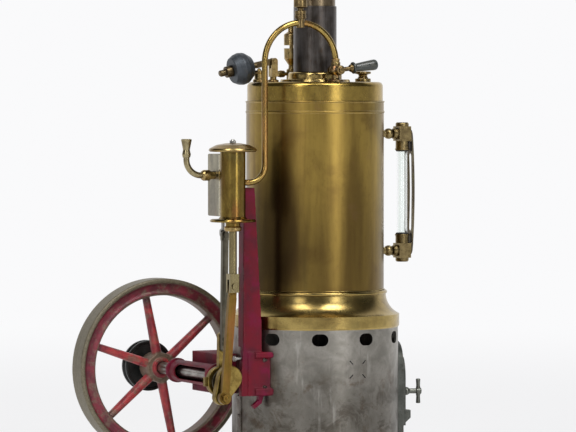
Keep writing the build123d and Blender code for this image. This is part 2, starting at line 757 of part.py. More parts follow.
with BuildPart() as grub_screws:
    for y, hub in ((PULLEY_Y + 7.6, 6.2), (HUB_FAR - 2.0, HUB_R)):
        turn(
            [(0, hub - 0.6), (1.0, hub - 0.6), (1.0, hub + 0.9, 0.2), (0, hub + 0.9)],
            (SHAFT_X, y, SHAFT_Z),
            UP,
        )
    rod((SHAFT_X, PULLEY_Y + 5, SHAFT_Z), (SHAFT_X, PULLEY_Y + 9, SHAFT_Z), 6.4, mode=Mode.SUBTRACT)
    rod((SHAFT_X, HUB_FAR - 5, SHAFT_Z), (SHAFT_X, HUB_FAR, SHAFT_Z), HUB_R, mode=Mode.SUBTRACT)
keep(grub_screws, "grub_screws")

# ---- eccentric strap and valve gear -------------------------------------------------------

STRAP_R = 8.8
ROD_BAR_FRONT = STRAP_FRONT - 2.6


def along_valve_rod(height):
    """The valve rod's middle as (x, z), at a height."""
    share = (height - SHEAVE_Z) / (VALVE_PIN_Z - SHEAVE_Z)
    return (SHEAVE_X + share * (VALVE_X - SHEAVE_X), height)


with BuildPart() as strap:
    turn(
        [
            (SHEAVE_R + RUNNING_GAP, STRAP_FRONT),
            (STRAP_R, STRAP_FRONT, 0.5),
            (STRAP_R, STRAP_REAR, 0.5),
            (SHEAVE_R + RUNNING_GAP, STRAP_REAR),
        ],
        (SHEAVE_X, 0, SHEAVE_Z),
        BACK,
    )
    bar_between(along_valve_rod(69.4), along_valve_rod(86.5), 4.4, STRAP_FRONT, STRAP_FRONT + 3.2)
    for side in (-1, 1):
        lug_x = SHEAVE_X + side * (STRAP_R + 0.2)
        block(
            (lug_x - 1.3, STRAP_FRONT + 0.8, SHEAVE_Z - 2.6),
            (lug_x + 1.3, STRAP_REAR - 0.8, SHEAVE_Z + 2.6),
        )
    rod((SHEAVE_X, -30, SHEAVE_Z), (SHEAVE_X, 0, SHEAVE_Z), SHEAVE_R + RUNNING_GAP, mode=Mode.SUBTRACT)
keep(strap, "eccentric_strap")

with BuildPart() as valve_rod:
    bar_between(along_valve_rod(79.5), along_valve_rod(141.0), 3.6, ROD_BAR_FRONT, STRAP_FRONT)
    bar_between(along_valve_rod(142.0), along_valve_rod(VALVE_PIN_Z), 4.4, ROD_BAR_FRONT + 0.4, STRAP_FRONT)
    rod((VALVE_X, ROD_BAR_FRONT - 0.7, VALVE_PIN_Z), (VALVE_X, ROD_BAR_FRONT + 0.4, VALVE_PIN_Z), 1.3)
    for height in (82.0, 84.6):
        joint_x = along_valve_rod(height)[0]
        rod((joint_x, ROD_BAR_FRONT - 0.8, height), (joint_x, ROD_BAR_FRONT, height), 1.0)
keep(valve_rod, "valve_rod")

CHEST_LOW, CHEST_HIGH = 155.0, 190.4
CHEST_FRONT, CHEST_REAR = -29.4, -13.2
CHEST_COVER_REAR = -11.7
with BuildPart() as valve_spindle:
    rod((VALVE_X, SPINDLE_Y, 147.0), (VALVE_X, SPINDLE_Y, 176.0), SPINDLE_R)
    bar_between((VALVE_X, VALVE_PIN_Z), (VALVE_X, 146.2), 3.6, STRAP_FRONT + 0.35, STRAP_FRONT + 2.3)
keep(valve_spindle, "valve_spindle")

VALVE_LOW, VALVE_HIGH = 163.0, 174.0
PORT_FACE_Y = CHEST_FRONT + 6.4
with BuildPart() as slide_valve:
    block((VALVE_X - 3.0, PORT_FACE_Y, VALVE_LOW), (VALVE_X + 3.0, SPINDLE_Y + 2.0, VALVE_HIGH))
    block(
        (VALVE_X - 1.8, PORT_FACE_Y, VALVE_LOW + 2.6),
        (VALVE_X + 1.8, PORT_FACE_Y + 1.4, VALVE_HIGH - 2.6),
        mode=Mode.SUBTRACT,
    )
    rod((VALVE_X, SPINDLE_Y, 150), (VALVE_X, SPINDLE_Y, 180), SPINDLE_R, mode=Mode.SUBTRACT)
keep(slide_valve, "slide_valve")

# ---- cylinder and steam chest -------------------------------------------------------------

BARREL_R = 7.25
FLANGE_R = 13.2
HEAD_R = 13.8
BARREL_TOP = 191.7
CYLINDER_BOTTOM = 156.0
PISTON_ROD_R = 2.3
CYLINDER_AXIS = (SHAFT_X, CYLINDER_Y, 0)
with BuildPart() as cylinder:
    turn(
        [
            (PISTON_ROD_R + 1.4, 149.6),
            (4.2, 149.6),
            (4.2, 151.4, 0.5),
            (FLANGE_R - 0.6, 151.9, 0.1),
            (FLANGE_R, 152.5, 0.3),
            (FLANGE_R - 0.7, 153.5, 0.3),
            (BARREL_R + 1.0, 153.7, 0.5),
            (BARREL_R, 154.9),
            (BARREL_R, BARREL_TOP),
            (BORE_R, BARREL_TOP),
            (BORE_R, CYLINDER_BOTTOM),
            (PISTON_ROD_R + 1.4, CYLINDER_BOTTOM),
        ],
        CYLINDER_AXIS,
    )
    for height in (159.0, 187.6):
        block(
            (VALVE_X - 1.5, CYLINDER_Y + 3, height - 1.0),
            (VALVE_X + 1.5, CYLINDER_Y + 8, height + 1.0),
            mode=Mode.SUBTRACT,
        )
keep(cylinder, "cylinder")

with BuildPart() as cylinder_head:
    turn(
        [
            (0, BARREL_TOP - 1.6),
            (BORE_R, BARREL_TOP - 1.6),
            (BORE_R, BARREL_TOP),
            (HEAD_R - 0.8, BARREL_TOP, 0.2),
            (HEAD_R, BARREL_TOP + 0.8, 0.4),
            (HEAD_R - 0.5, BARREL_TOP + 1.9, 0.4),
            (9.4, BARREL_TOP + 3.9, 4.0),
            (4.0, BARREL_TOP + 4.9, 4.0),
            (0, BARREL_TOP + 5.0),
        ],
        CYLINDER_AXIS,
    )
keep(cylinder_head, "cylinder_head")

GLAND_LOW = 146.6
with BuildPart() as rod_gland:
    turn(
        [
            (PISTON_ROD_R + RUNNING_GAP, GLAND_LOW),
            (4.2, GLAND_LOW, 0.3),
            (5.0, GLAND_LOW + 0.9, 0.3),
            (5.0, GLAND_LOW + 2.2, 0.3),
            (4.4, GLAND_LOW + 3.0),
            (PISTON_ROD_R + 1.4, GLAND_LOW + 3.0),
            (PISTON_ROD_R + 1.4, CYLINDER_BOTTOM),
            (PISTON_ROD_R + RUNNING_GAP, CYLINDER_BOTTOM),
        ],
        CYLINDER_AXIS,
    )
keep(rod_gland, "piston_rod_gland")

EXHAUST_Z = 178.2
CHEST_X = (SHAFT_X - CHEST_HALF_X, SHAFT_X + CHEST_HALF_X)
with BuildPart() as port_plate:
    block((CHEST_X[0] - 0.6, CHEST_FRONT, CHEST_LOW + 0.4), (CHEST_X[1], CHEST_FRONT + 1.2, CHEST_HIGH - 0.4))
    rod((SHAFT_X, CYLINDER_Y, 140), (SHAFT_X, CYLINDER_Y, 200), BARREL_R, mode=Mode.SUBTRACT)
    for height in (159.0, 187.6):
        block((VALVE_X - 1.5, -40, height - 1.0), (VALVE_X + 1.5, 0, height + 1.0), mode=Mode.SUBTRACT)
keep(port_plate, "port_plate")

CHEST_BODY_FRONT = CHEST_FRONT + 1.2
with BuildPart() as chest:
    block((CHEST_X[0], CHEST_BODY_FRONT, CHEST_LOW), (CHEST_X[1], CHEST_REAR, CHEST_HIGH))
    block(
        (CHEST_X[0] + 1.6, PORT_FACE_Y, CHEST_LOW + 2),
        (CHEST_X[1] - 1.6, CHEST_REAR, CHEST_HIGH - 2),
        mode=Mode.SUBTRACT,
    )
    rod((SHAFT_X, CYLINDER_Y, 140), (SHAFT_X, CYLINDER_Y, 200), BARREL_R, mode=Mode.SUBTRACT)
    for high, inner in ((187.6, 178.0), (159.0, 166.0)):
        block(
            (VALVE_X - 1.5, -40, high - 1.0),
            (VALVE_X + 1.5, CHEST_BODY_FRONT + 2.2, high + 1.0),
            mode=Mode.SUBTRACT,
        )
        low, top = sorted((high, inner))
        block(
            (VALVE_X - 1.5, CHEST_BODY_FRONT + 1.0, low - 1.0),
            (VALVE_X + 1.5, CHEST_BODY_FRONT + 2.2, top + 1.0),
            mode=Mode.SUBTRACT,
        )
        block(
            (VALVE_X - 1.5, CHEST_BODY_FRONT + 1.0, inner - 1.0),
            (VALVE_X + 1.5, PORT_FACE_Y, inner + 1.0),
            mode=Mode.SUBTRACT,
        )
    rod(
        (CHEST_X[0] - 1, CHEST_BODY_FRONT + 3.7, EXHAUST_Z),
        (VALVE_X, CHEST_BODY_FRONT + 3.7, EXHAUST_Z),
        1.0,
        mode=Mode.SUBTRACT,
    )
    rod((VALVE_X, SPINDLE_Y, 150), (VALVE_X, SPINDLE_Y, 160), SPINDLE_R + RUNNING_GAP, mode=Mode.SUBTRACT)
    rod(
        (CHEST_X[1] - 3, PIPE_Y, CHEST_INLET_Z),
        (CHEST_X[1] + 3, PIPE_Y, CHEST_INLET_Z),
        1.0,
        mode=Mode.SUBTRACT,
    )
    turn(
        [
            (SPINDLE_R + RUNNING_GAP, 153.9),
            (1.7, 153.9, 0.3),
            (1.7, CHEST_LOW),
            (SPINDLE_R + RUNNING_GAP, CHEST_LOW),
        ],
        (VALVE_X, SPINDLE_Y, 0),
    )
keep(chest, "steam_chest")

with BuildPart() as chest_cover:
    block((CHEST_X[0], CHEST_REAR, CHEST_LOW), (CHEST_X[1], CHEST_COVER_REAR, CHEST_HIGH))
    fillet(chest_cover.edges().filter_by(Axis.Y), 0.8)
keep(chest_cover, "steam_chest_cover")

with BuildPart() as engine_screws:
    for x in (CHEST_X[0] + 1.9, CHEST_X[1] - 1.9):
        for z in (CHEST_LOW + 2.2, (CHEST_LOW + CHEST_HIGH) / 2, CHEST_HIGH - 2.2):
            hexagon((x, CHEST_COVER_REAR, z), BACK, 2.6, 1.1)
            turn([(0, 1.1), (0.8, 1.1), (0.6, 1.5), (0, 1.6)], (x, CHEST_COVER_REAR, z), BACK)
    hexagon((SHAFT_X, CYLINDER_Y, BARREL_TOP + 5.0), UP, 3.4, 1.4)
    turn([(0, 0), (1.2, 0), (0.9, 0.6, 0.3), (0, 0.8)], (SHAFT_X, CYLINDER_Y, BARREL_TOP + 6.4))
keep(engine_screws, "engine_screws")

# ---- exhaust pipe -------------------------------------------------------------------------

EXHAUST_Y = -20.4
EXHAUST_X = -90.5
EXHAUST_BEND = 9.0
EXHAUST_R = 1.75
with BuildPart() as exhaust_pipe:
    with BuildLine():
        Line((CHEST_X[0] - 2.0, EXHAUST_Y, EXHAUST_Z), (EXHAUST_X + EXHAUST_BEND, EXHAUST_Y, EXHAUST_Z))
        bend_middle = EXHAUST_BEND * (1 - sqrt(0.5))
        ThreePointArc(
            (EXHAUST_X + EXHAUST_BEND, EXHAUST_Y, EXHAUST_Z),
            (EXHAUST_X + bend_middle, EXHAUST_Y, EXHAUST_Z + bend_middle),
            (EXHAUST_X, EXHAUST_Y, EXHAUST_Z + EXHAUST_BEND),
        )
        Line((EXHAUST_X, EXHAUST_Y, EXHAUST_Z + EXHAUST_BEND), (EXHAUST_X, EXHAUST_Y, 190.0))
    with BuildSketch(Plane(origin=(CHEST_X[0] - 2.0, EXHAUST_Y, EXHAUST_Z), z_dir=(-1, 0, 0))):
        Circle(EXHAUST_R)
        Circle(EXHAUST_R - 0.6, mode=Mode.SUBTRACT)
    sweep()
    turn(
        [
            (EXHAUST_R, 188.4),
            (2.15, 188.4, 0.3),
            (2.5, 190.2, 1.0),
            (1.95, 192.8, 1.0),
            (3.1, 198.6, 0.2),
            (2.5, 198.9),
            (1.35, 192.6, 0.8),
            (1.35, 190.0),
            (EXHAUST_R, 190.0),
        ],
        (EXHAUST_X, EXHAUST_Y, 0),
    )
keep(exhaust_pipe, "exhaust_pipe")

# ---- piston, crosshead and connecting rod -------------------------------------------------

PISTON_REST = CYLINDER_BOTTOM + 1.2 + (CROSSHEAD_Z - (SHAFT_Z - CRANK_THROW + ROD_LENGTH))
FORK_TOP = CROSSHEAD_Z + 7.0
FORK_LOW = CROSSHEAD_Z - 3.6
with BuildPart() as piston:
    turn(
        [
            (0, PISTON_REST),
            (BORE_R - RUNNING_GAP, PISTON_REST, 0.3),
            (BORE_R - RUNNING_GAP, PISTON_REST + 2.2),
            (BORE_R - 0.7, PISTON_REST + 2.2),
            (BORE_R - 0.7, PISTON_REST + 3.8),
            (BORE_R - RUNNING_GAP, PISTON_REST + 3.8),
            (BORE_R - RUNNING_GAP, PISTON_REST + 6.0, 0.3),
            (0, PISTON_REST + 6.0),
        ],
        CYLINDER_AXIS,
    )
keep(piston, "piston")

with BuildPart() as crosshead:
    block((SHAFT_X - 2.9, CYLINDER_Y - 3.3, FORK_LOW), (SHAFT_X + 2.9, CYLINDER_Y + 3.3, FORK_TOP))
    chamfer(crosshead.edges().filter_by(Axis.Z), 0.5)
    block(
        (SHAFT_X - 4, CYLINDER_Y - 1.2, FORK_LOW - 1),
        (SHAFT_X + 4, CYLINDER_Y + 1.2, CROSSHEAD_Z + 3.8),
        mode=Mode.SUBTRACT,
    )
    for side in (-1, 1):
        face_y = CYLINDER_Y + side * 3.3
        rod((SHAFT_X, face_y, CROSSHEAD_Z), (SHAFT_X, face_y + side * 0.9, CROSSHEAD_Z), 1.9)
    rod((SHAFT_X, CYLINDER_Y - 1.3, CROSSHEAD_Z), (SHAFT_X, CYLINDER_Y + 1.3, CROSSHEAD_Z), 1.2)
    rod((SHAFT_X, CYLINDER_Y, FORK_TOP), (SHAFT_X, CYLINDER_Y, PISTON_REST), PISTON_ROD_R)
keep(crosshead, "piston_rod")

ROD_FRONT, ROD_REAR = CYLINDER_Y - 1.5, CYLINDER_Y + 1.5
ROD_TILT = (SHAFT_X - CRANK_X, CROSSHEAD_Z - CRANK_Z)


def along_rod(distance):
    """A point (x, z) on the connecting rod, measured up from the crank pin."""
    share = distance / ROD_LENGTH
    return (CRANK_X + share * ROD_TILT[0], CRANK_Z + share * ROD_TILT[1])


with BuildPart() as connecting_rod:
    bar_between(along_rod(3.0), along_rod(ROD_LENGTH - 7.0), 4.6, ROD_FRONT, ROD_REAR)
    bar_between(along_rod(ROD_LENGTH - 9.0), along_rod(ROD_LENGTH), 4.6, CYLINDER_Y - 1.0, CYLINDER_Y + 1.0)
    rod((CRANK_X, ROD_FRONT, CRANK_Z), (CRANK_X, ROD_REAR, CRANK_Z), 3.7)
    rod((CRANK_X, ROD_FRONT - 0.6, CRANK_Z), (CRANK_X, ROD_FRONT, CRANK_Z), 2.9)
    rod((SHAFT_X, -50, CROSSHEAD_Z), (SHAFT_X, -20, CROSSHEAD_Z), 1.2 + RUNNING_GAP, mode=Mode.SUBTRACT)
    rod((CRANK_X, -50, CRANK_Z), (CRANK_X, -20, CRANK_Z), PIN_R, mode=Mode.SUBTRACT)
keep(connecting_rod, "connecting_rod")

with BuildPart() as crank_pin:
    rod((CRANK_X, ROD_FRONT - 0.6, CRANK_Z), (CRANK_X, ROD_REAR + 0.15, CRANK_Z), PIN_R)
    hexagon((CRANK_X, ROD_FRONT - 0.6, CRANK_Z), (0, -1, 0), 4.2, 1.6)
    turn([(0, 0), (1.1, 0), (0.8, 0.8, 0.2), (0, 0.9)], (CRANK_X, ROD_FRONT - 2.2, CRANK_Z), (0, -1, 0))
keep(crank_pin, "crank_pin_bolt")

# ---- steam pipe and lubricator ------------------------------------------------------------

INLET_BEND = 10.0
PIPE_START_Z = 241.2
with BuildPart() as steam_pipe:
    with BuildLine():
        Line((CHEST_X[1] + 1.6, PIPE_Y, CHEST_INLET_Z), (PIPE_OUTER_X - INLET_BEND, PIPE_Y, CHEST_INLET_Z))
        corner = INLET_BEND * (1 - sqrt(0.5))
        ThreePointArc(
            (PIPE_OUTER_X - INLET_BEND, PIPE_Y, CHEST_INLET_Z),
            (PIPE_OUTER_X - corner, PIPE_Y, CHEST_INLET_Z + corner),
            (PIPE_OUTER_X, PIPE_Y, CHEST_INLET_Z + INLET_BEND),
        )
        Line((PIPE_OUTER_X, PIPE_Y, CHEST_INLET_Z + INLET_BEND), (PIPE_OUTER_X, PIPE_Y, ARCH_SPRING_Z))
        ThreePointArc(
            (PIPE_OUTER_X, PIPE_Y, ARCH_SPRING_Z),
            (PIPE_OUTER_X + ARCH_R, PIPE_Y, ARCH_SPRING_Z + ARCH_R),
            (PIPE_INNER_X, PIPE_Y, ARCH_SPRING_Z),
        )
        Line((PIPE_INNER_X, PIPE_Y, ARCH_SPRING_Z), (PIPE_INNER_X, PIPE_Y, PIPE_START_Z))
    with BuildSketch(Plane(origin=(CHEST_X[1] + 1.6, PIPE_Y, CHEST_INLET_Z), z_dir=RIGHT)):
        Circle(PIPE_R)
        Circle(PIPE_R - 0.6, mode=Mode.SUBTRACT)
    sweep()
    tee_x = PIPE_OUTER_X + ARCH_R
    tee_z = ARCH_SPRING_Z + ARCH_R
    rod((tee_x, PIPE_Y, tee_z), (tee_x, PIPE_Y, tee_z + 4), PIPE_R - 0.6, mode=Mode.SUBTRACT)
keep(steam_pipe, "steam_pipe")

with BuildPart() as pipe_unions:
    turn(
        [(PIPE_R, 0), (3.0, 0), (3.0, 2.6, 0.3), (2.4, 3.6, 0.2), (PIPE_R, 3.8)],
        (CHEST_X[1], PIPE_Y, CHEST_INLET_Z),
        RIGHT,
    )
    turn(
        [
            (PIPE_R, PIPE_START_Z),
            (2.7, PIPE_START_Z, 0.2),
            (2.7, PIPE_START_Z + 1.4, 0.2),
            (2.2, PIPE_START_Z + 1.7),
            (2.4, PIPE_START_Z + 3.4, 0.3),
            (PIPE_R + 0.2, PIPE_START_Z + 3.6),
            (PIPE_R, PIPE_START_Z + 1.7),
        ],
        (PIPE_INNER_X, PIPE_Y, 0),
    )
    turn(
        [
            (0, 0),
            (2.3, 0),
            (2.3, 2.9),
            (3.1, 3.1, 0.2),
            (3.1, 6.6, 0.3),
            (2.4, 7.8, 0.3),
            (EXHAUST_R, 8.0),
            (EXHAUST_R, 2.0),
            (0, 2.0),
        ],
        (CHEST_X[0], EXHAUST_Y, EXHAUST_Z),
        (-1, 0, 0),
    )
    rod((CHEST_X[0], EXHAUST_Y, EXHAUST_Z), (CHEST_X[0] - 3, EXHAUST_Y, EXHAUST_Z), 1.0, mode=Mode.SUBTRACT)
keep(pipe_unions, "pipe_unions")

LUBRICATOR_X = PIPE_OUTER_X + ARCH_R
CROWN_LINE = ARCH_SPRING_Z + ARCH_R
LUBRICATOR_AXIS = (LUBRICATOR_X, PIPE_Y, 0)
CUP_TOP = 285.0
with BuildPart() as lubricator:
    turn(
        [
            (0, CROWN_LINE - 2.9),
            (2.5, CROWN_LINE - 2.9, 0.4),
            (2.5, CROWN_LINE + 2.2),
            (3.35, CROWN_LINE + 2.4, 0.3),
            (3.35, CROWN_LINE + 4.6, 0.2),
            (3.1, CROWN_LINE + 4.9),
            (3.35, CROWN_LINE + 5.2, 0.2),
            (3.35, CROWN_LINE + 6.8, 0.3),
            (1.8, CROWN_LINE + 7.2, 0.2),
            (1.8, CROWN_LINE + 8.2, 0.2),
            (3.9, CROWN_LINE + 9.0, 0.5),
            (3.9, CUP_TOP),
            (3.1, CUP_TOP),
            (3.1, CROWN_LINE + 10.4, 0.6),
            (0, CROWN_LINE + 10.0),
        ],
        LUBRICATOR_AXIS,
    )
    with BuildLine() as tee_path:
        ThreePointArc(
            (PIPE_OUTER_X, PIPE_Y, ARCH_SPRING_Z),
            (PIPE_OUTER_X + ARCH_R, PIPE_Y, ARCH_SPRING_Z + ARCH_R),
            (PIPE_INNER_X, PIPE_Y, ARCH_SPRING_Z),
        )
    with BuildSketch(Plane(origin=(PIPE_OUTER_X, PIPE_Y, ARCH_SPRING_Z), z_dir=UP)) as tee_bore:
        Circle(PIPE_R)
    sweep(tee_bore.sketch, path=tee_path.line, mode=Mode.SUBTRACT)
keep(lubricator, "lubricator_cup")

with BuildPart() as lubricator_cap:
    turn(
        [
            (0, CUP_TOP - 1.6),
            (3.1 - RUNNING_GAP, CUP_TOP - 1.6),
            (3.1 - RUNNING_GAP, CUP_TOP + 0.05),
            (4.3, CUP_TOP + 0.05, 0.2),
            (4.3, CUP_TOP + 1.4, 0.4),
            (1.4, CUP_TOP + 2.8, 1.2),
            (1.0, CUP_TOP + 3.8, 0.3),
            (2.0, CUP_TOP + 4.8, 0.8),
            (1.4, CUP_TOP + 6.4, 0.8),
            (0, CUP_TOP + 6.8),
        ],
        LUBRICATOR_AXIS,
    )
keep(lubricator_cap, "lubricator_cap")

# ---- stop valve ---------------------------------------------------------------------------

BALL_Z = 238.2
BALL_R = 3.9
PLUG_R = 1.6
LEVER_TILT = 8.0
LEVER_Y = -32.0
with BuildPart() as stop_valve:
    turn(
        [
            (0, BOILER_TOP - 1.2),
            (STEM_R, BOILER_TOP - 1.2),
            (STEM_R, BOILER_TOP),
            (5.0, BOILER_TOP),
            (5.0, BOILER_TOP + 1.2, 0.4),
            (2.4, BOILER_TOP + 1.8, 0.6),
            (2.4, BALL_Z - 2),
            (0, BALL_Z - 2),
        ],
        (VALVE_SPOT[0], VALVE_SPOT[1], 0),
    )
    with Locations((VALVE_SPOT[0], VALVE_SPOT[1], BALL_Z)):
        Sphere(BALL_R)
    block((-8, PIPE_Y - 6, PIPE_START_Z), (8, PIPE_Y + 6, PIPE_START_Z + 4), mode=Mode.SUBTRACT)
    rod(
        (VALVE_SPOT[0], PIPE_Y + 6, BALL_Z),
        (VALVE_SPOT[0], PIPE_Y - 6, BALL_Z),
        PLUG_R + RUNNING_GAP,
        mode=Mode.SUBTRACT,
    )
keep(stop_valve, "stop_valve_body")

HANDLE_WAY = (cos(radians(LEVER_TILT)), 0, sin(radians(LEVER_TILT)))


def along_lever(distance):
    """A point on the stop valve's lever."""
    return (VALVE_SPOT[0] + distance * HANDLE_WAY[0], LEVER_Y, BALL_Z + distance * HANDLE_WAY[2])


with BuildPart() as stop_lever:
    turn(
        [
            (0, 6.2),
            (2.5, 6.2, 0.3),
            (2.5, 5.2),
            (PLUG_R, 5.2),
            (PLUG_R, -4.0),
            (2.6, -4.0),
            (2.6, -7.4, 0.5),
            (1.7, -7.6),
            (1.7, -9.0, 0.4),
            (0, -9.0),
        ],
        (VALVE_SPOT[0], PIPE_Y, BALL_Z),
        BACK,
    )
    rod(along_lever(0), along_lever(7.0), 1.3)
    turn([(0, 6.2), (1.9, 6.2, 0.3), (2.4, 7.2, 0.4), (2.4, 8.0, 0.3), (0, 8.0)], along_lever(0), HANDLE_WAY)
    rod(along_lever(8), along_lever(12), 0.9)
keep(stop_lever, "stop_valve_lever")

with BuildPart() as stop_handle:
    turn(
        [
            (0, 8.0),
            (3.4, 8.0, 0.4),
            (3.4, 9.0, 0.3),
            (2.3, 10.0, 0.4),
            (2.7, 15.0, 6.0),
            (3.1, 21.0, 3.0),
            (3.0, 23.6, 1.6),
            (0, 23.9),
        ],
        along_lever(0),
        HANDLE_WAY,
    )
    rod(along_lever(7), along_lever(12), 0.9, mode=Mode.SUBTRACT)
keep(stop_handle, "stop_valve_handle")

# ---- safety valve -------------------------------------------------------------------------

LEVER_SLOPE = 12.2
PIVOT_Z = 243.4
SLOPE_WAY = (-cos(radians(LEVER_SLOPE)), 0, -sin(radians(LEVER_SLOPE)))
PIVOT = (POST_SPOT[0], PIVOT_Z)
WEIGHT_REACH = 20.8


def along_safety(distance):
    """A point (x, z) on the safety valve's lever, measured outward from its pivot."""
    return (PIVOT[0] + distance * SLOPE_WAY[0], PIVOT[1] + distance * SLOPE_WAY[2])


with BuildPart() as safety_body:
    turn(
        [
            (0, BOILER_TOP - 1.2),
            (STEM_R, BOILER_TOP - 1.2),
            (STEM_R, BOILER_TOP),
            (3.6, BOILER_TOP),
            (3.6, BOILER_TOP + 1.2, 0.3),
            (2.7, BOILER_TOP + 1.8, 0.4),
            (2.7, 236.2, 0.3),
            (3.1, 236.8, 0.3),
            (3.1, 238.0, 0.3),
            (1.2, 238.2),
            (0.9, 239.1),
            (0, 239.4),
        ],
        (SAFETY_SPOT[0], SAFETY_SPOT[1], 0),
    )
    turn(
        [
            (0, BOILER_TOP - 1.2),
            (STEM_R, BOILER_TOP - 1.2),
            (STEM_R, BOILER_TOP),
            (3.2, BOILER_TOP),
            (3.2, BOILER_TOP + 1.1, 0.3),
            (1.9, BOILER_TOP + 1.6),
            (1.9, 235.0),
            (0, 235.0),
        ],
        (POST_SPOT[0], POST_SPOT[1], 0),
    )
    block((POST_SPOT[0] - 1.9, POST_SPOT[1] - 2.4, 234.4), (POST_SPOT[0] + 1.9, POST_SPOT[1] + 2.4, PIVOT_Z))
    rod((POST_SPOT[0], POST_SPOT[1] - 2.4, PIVOT_Z), (POST_SPOT[0], POST_SPOT[1] + 2.4, PIVOT_Z), 1.9)
    block(
        (POST_SPOT[0] - 4, POST_SPOT[1] - 1.1, 239.2),
        (POST_SPOT[0] + 4, POST_SPOT[1] + 1.1, 250),
        mode=Mode.SUBTRACT,
    )
    rod((POST_SPOT[0], POST_SPOT[1] - 3.0, PIVOT_Z), (POST_SPOT[0], POST_SPOT[1] + 3.0, PIVOT_Z), 0.8)
keep(safety_body, "safety_valve_body")

SAFETY_Y = SAFETY_SPOT[1]
with BuildPart() as safety_lever:
    bar_between(along_safety(0), along_safety(11.4), 3.6, SAFETY_Y - 0.9, SAFETY_Y + 0.9)
    start = along_safety(11.0)
    end = along_safety(35.0)
    rod((start[0], SAFETY_Y, start[1]), (end[0], SAFETY_Y, end[1]), 1.3)
    rod((PIVOT[0], -5, PIVOT[1]), (PIVOT[0], 15, PIVOT[1]), 0.8 + RUNNING_GAP, mode=Mode.SUBTRACT)
keep(safety_lever, "safety_valve_lever")

with BuildPart() as safety_weight:
    middle = along_safety(WEIGHT_REACH)
    turn(
        [
            (1.3, -6.2),
            (6.0, -6.2, 0.8),
            (8.9, -2.4, 2.0),
            (9.4, 0.6, 1.6),
            (8.8, 3.2, 1.2),
            (7.3, 6.0, 0.6),
            (1.3, 6.0),
        ],
        (middle[0], SAFETY_Y, middle[1]),
        SLOPE_WAY,
    )
keep(safety_weight, "safety_valve_weight")

with BuildPart() as weight_nuts:
    for near, far, radius in ((6.0, 10.2, 3.3), (10.2, 13.9, 1.8)):
        first = along_safety(WEIGHT_REACH + near)
        turn(
            [(1.3, 0), (radius, 0, 0.3), (radius, far - near, 0.4), (1.3, far - near)],
            (first[0], SAFETY_Y, first[1]),
            SLOPE_WAY,
        )
    first = along_safety(WEIGHT_REACH - 6.2)
    turn(
        [(1.3, 0), (2.3, 0, 0.2), (2.3, 1.3, 0.2), (1.3, 1.3)],
        (first[0], SAFETY_Y, first[1]),
        [-c for c in SLOPE_WAY],
    )
keep(weight_nuts, "weight_nuts")

# ---- whistle ------------------------------------------------------------------------------

WHISTLE_AXIS = (WHISTLE_SPOT[0], WHISTLE_SPOT[1], 0)
WHISTLE_LEVER_Z = 236.2
with BuildPart() as whistle_body:
    turn(
        [
            (0, BOILER_TOP - 1.2),
            (STEM_R, BOILER_TOP - 1.2),
            (STEM_R, BOILER_TOP),
            (4.4, BOILER_TOP),
            (4.4, BOILER_TOP + 1.2, 0.4),
            (2.9, BOILER_TOP + 1.8, 0.4),
            (2.9, 238.6, 0.5),
            (1.7, 239.6, 0.4),
            (1.7, 241.4, 0.5),
            (4.2, 245.0, 1.2),
            (4.4, 251.2),
            (3.7, 251.2),
            (3.7, 246.4, 0.8),
            (1.2, 246.0),
            (1.2, 262.4),
            (0, 262.4),
        ],
        WHISTLE_AXIS,
    )
    rod(
        (WHISTLE_SPOT[0] - 6, WHISTLE_SPOT[1], WHISTLE_LEVER_Z),
        (WHISTLE_SPOT[0] + 1, WHISTLE_SPOT[1], WHISTLE_LEVER_Z),
        1.05,
        mode=Mode.SUBTRACT,
    )
keep(whistle_body, "whistle_body")

with BuildPart() as whistle_bell:
    turn(
        [
            (3.7, 253.2),
            (4.4, 253.0),
            (4.4, 259.4, 1.0),
            (2.0, 261.0, 0.6),
            (2.0, 262.4, 0.4),
            (1.2, 262.4),
            (1.2, 260.0),
            (3.7, 258.6, 0.8),
        ],
        WHISTLE_AXIS,
    )
    turn([(0, 262.4), (2.1, 262.4, 0.3), (2.1, 263.6, 0.3), (1.2, 264.6, 0.6), (0, 264.9)], WHISTLE_AXIS)
keep(whistle_bell, "whistle_bell")

with BuildPart() as whistle_lever:
    turn(
        [
            (0, 1.0),
            (1.0, 1.0),
            (1.0, 4.4),
            (1.9, 4.8, 0.4),
            (2.1, 7.0, 0.5),
            (1.7, 8.8, 0.5),
            (0, 9.0),
        ],
        (WHISTLE_SPOT[0], WHISTLE_SPOT[1], WHISTLE_LEVER_Z),
        (-1, 0, 0),
    )
keep(whistle_lever, "whistle_push_button")

# ---- filler plug --------------------------------------------------------------------------

FILLER_AXIS = (FILLER_SPOT[0], FILLER_SPOT[1], 0)
BUSH_TOP = BOILER_TOP + 2.1
with BuildPart() as filler_bush:
    turn(
        [
            (FILLER_BORE_R, BOILER_TOP - 1.2),
            (FILLER_BORE_R + 0.9, BOILER_TOP - 1.2),
            (FILLER_BORE_R + 0.9, BOILER_TOP),
            (4.6, BOILER_TOP),
            (4.6, BUSH_TOP, 0.5),
            (FILLER_BORE_R, BUSH_TOP),
        ],
        FILLER_AXIS,
    )
keep(filler_bush, "filler_bush")

with BuildPart() as filler_plug:
    turn(
        [
            (0, BOILER_TOP - 1.8),
            (FILLER_BORE_R - RUNNING_GAP, BOILER_TOP - 1.8, 0.3),
            (FILLER_BORE_R - RUNNING_GAP, BUSH_TOP + 0.05),
            (3.4, BUSH_TOP + 0.05, 0.2),
            (2.5, BUSH_TOP + 1.2, 0.5),
            (2.7, BUSH_TOP + 2.2, 0.5),
            (4.7, BUSH_TOP + 2.8, 0.2),
            (4.7, BUSH_TOP + 4.0, 0.4),
            (0, BUSH_TOP + 4.3),
        ],
        FILLER_AXIS,
    )
keep(filler_plug, "filler_plug")

# ---- water gauge --------------------------------------------------------------------------

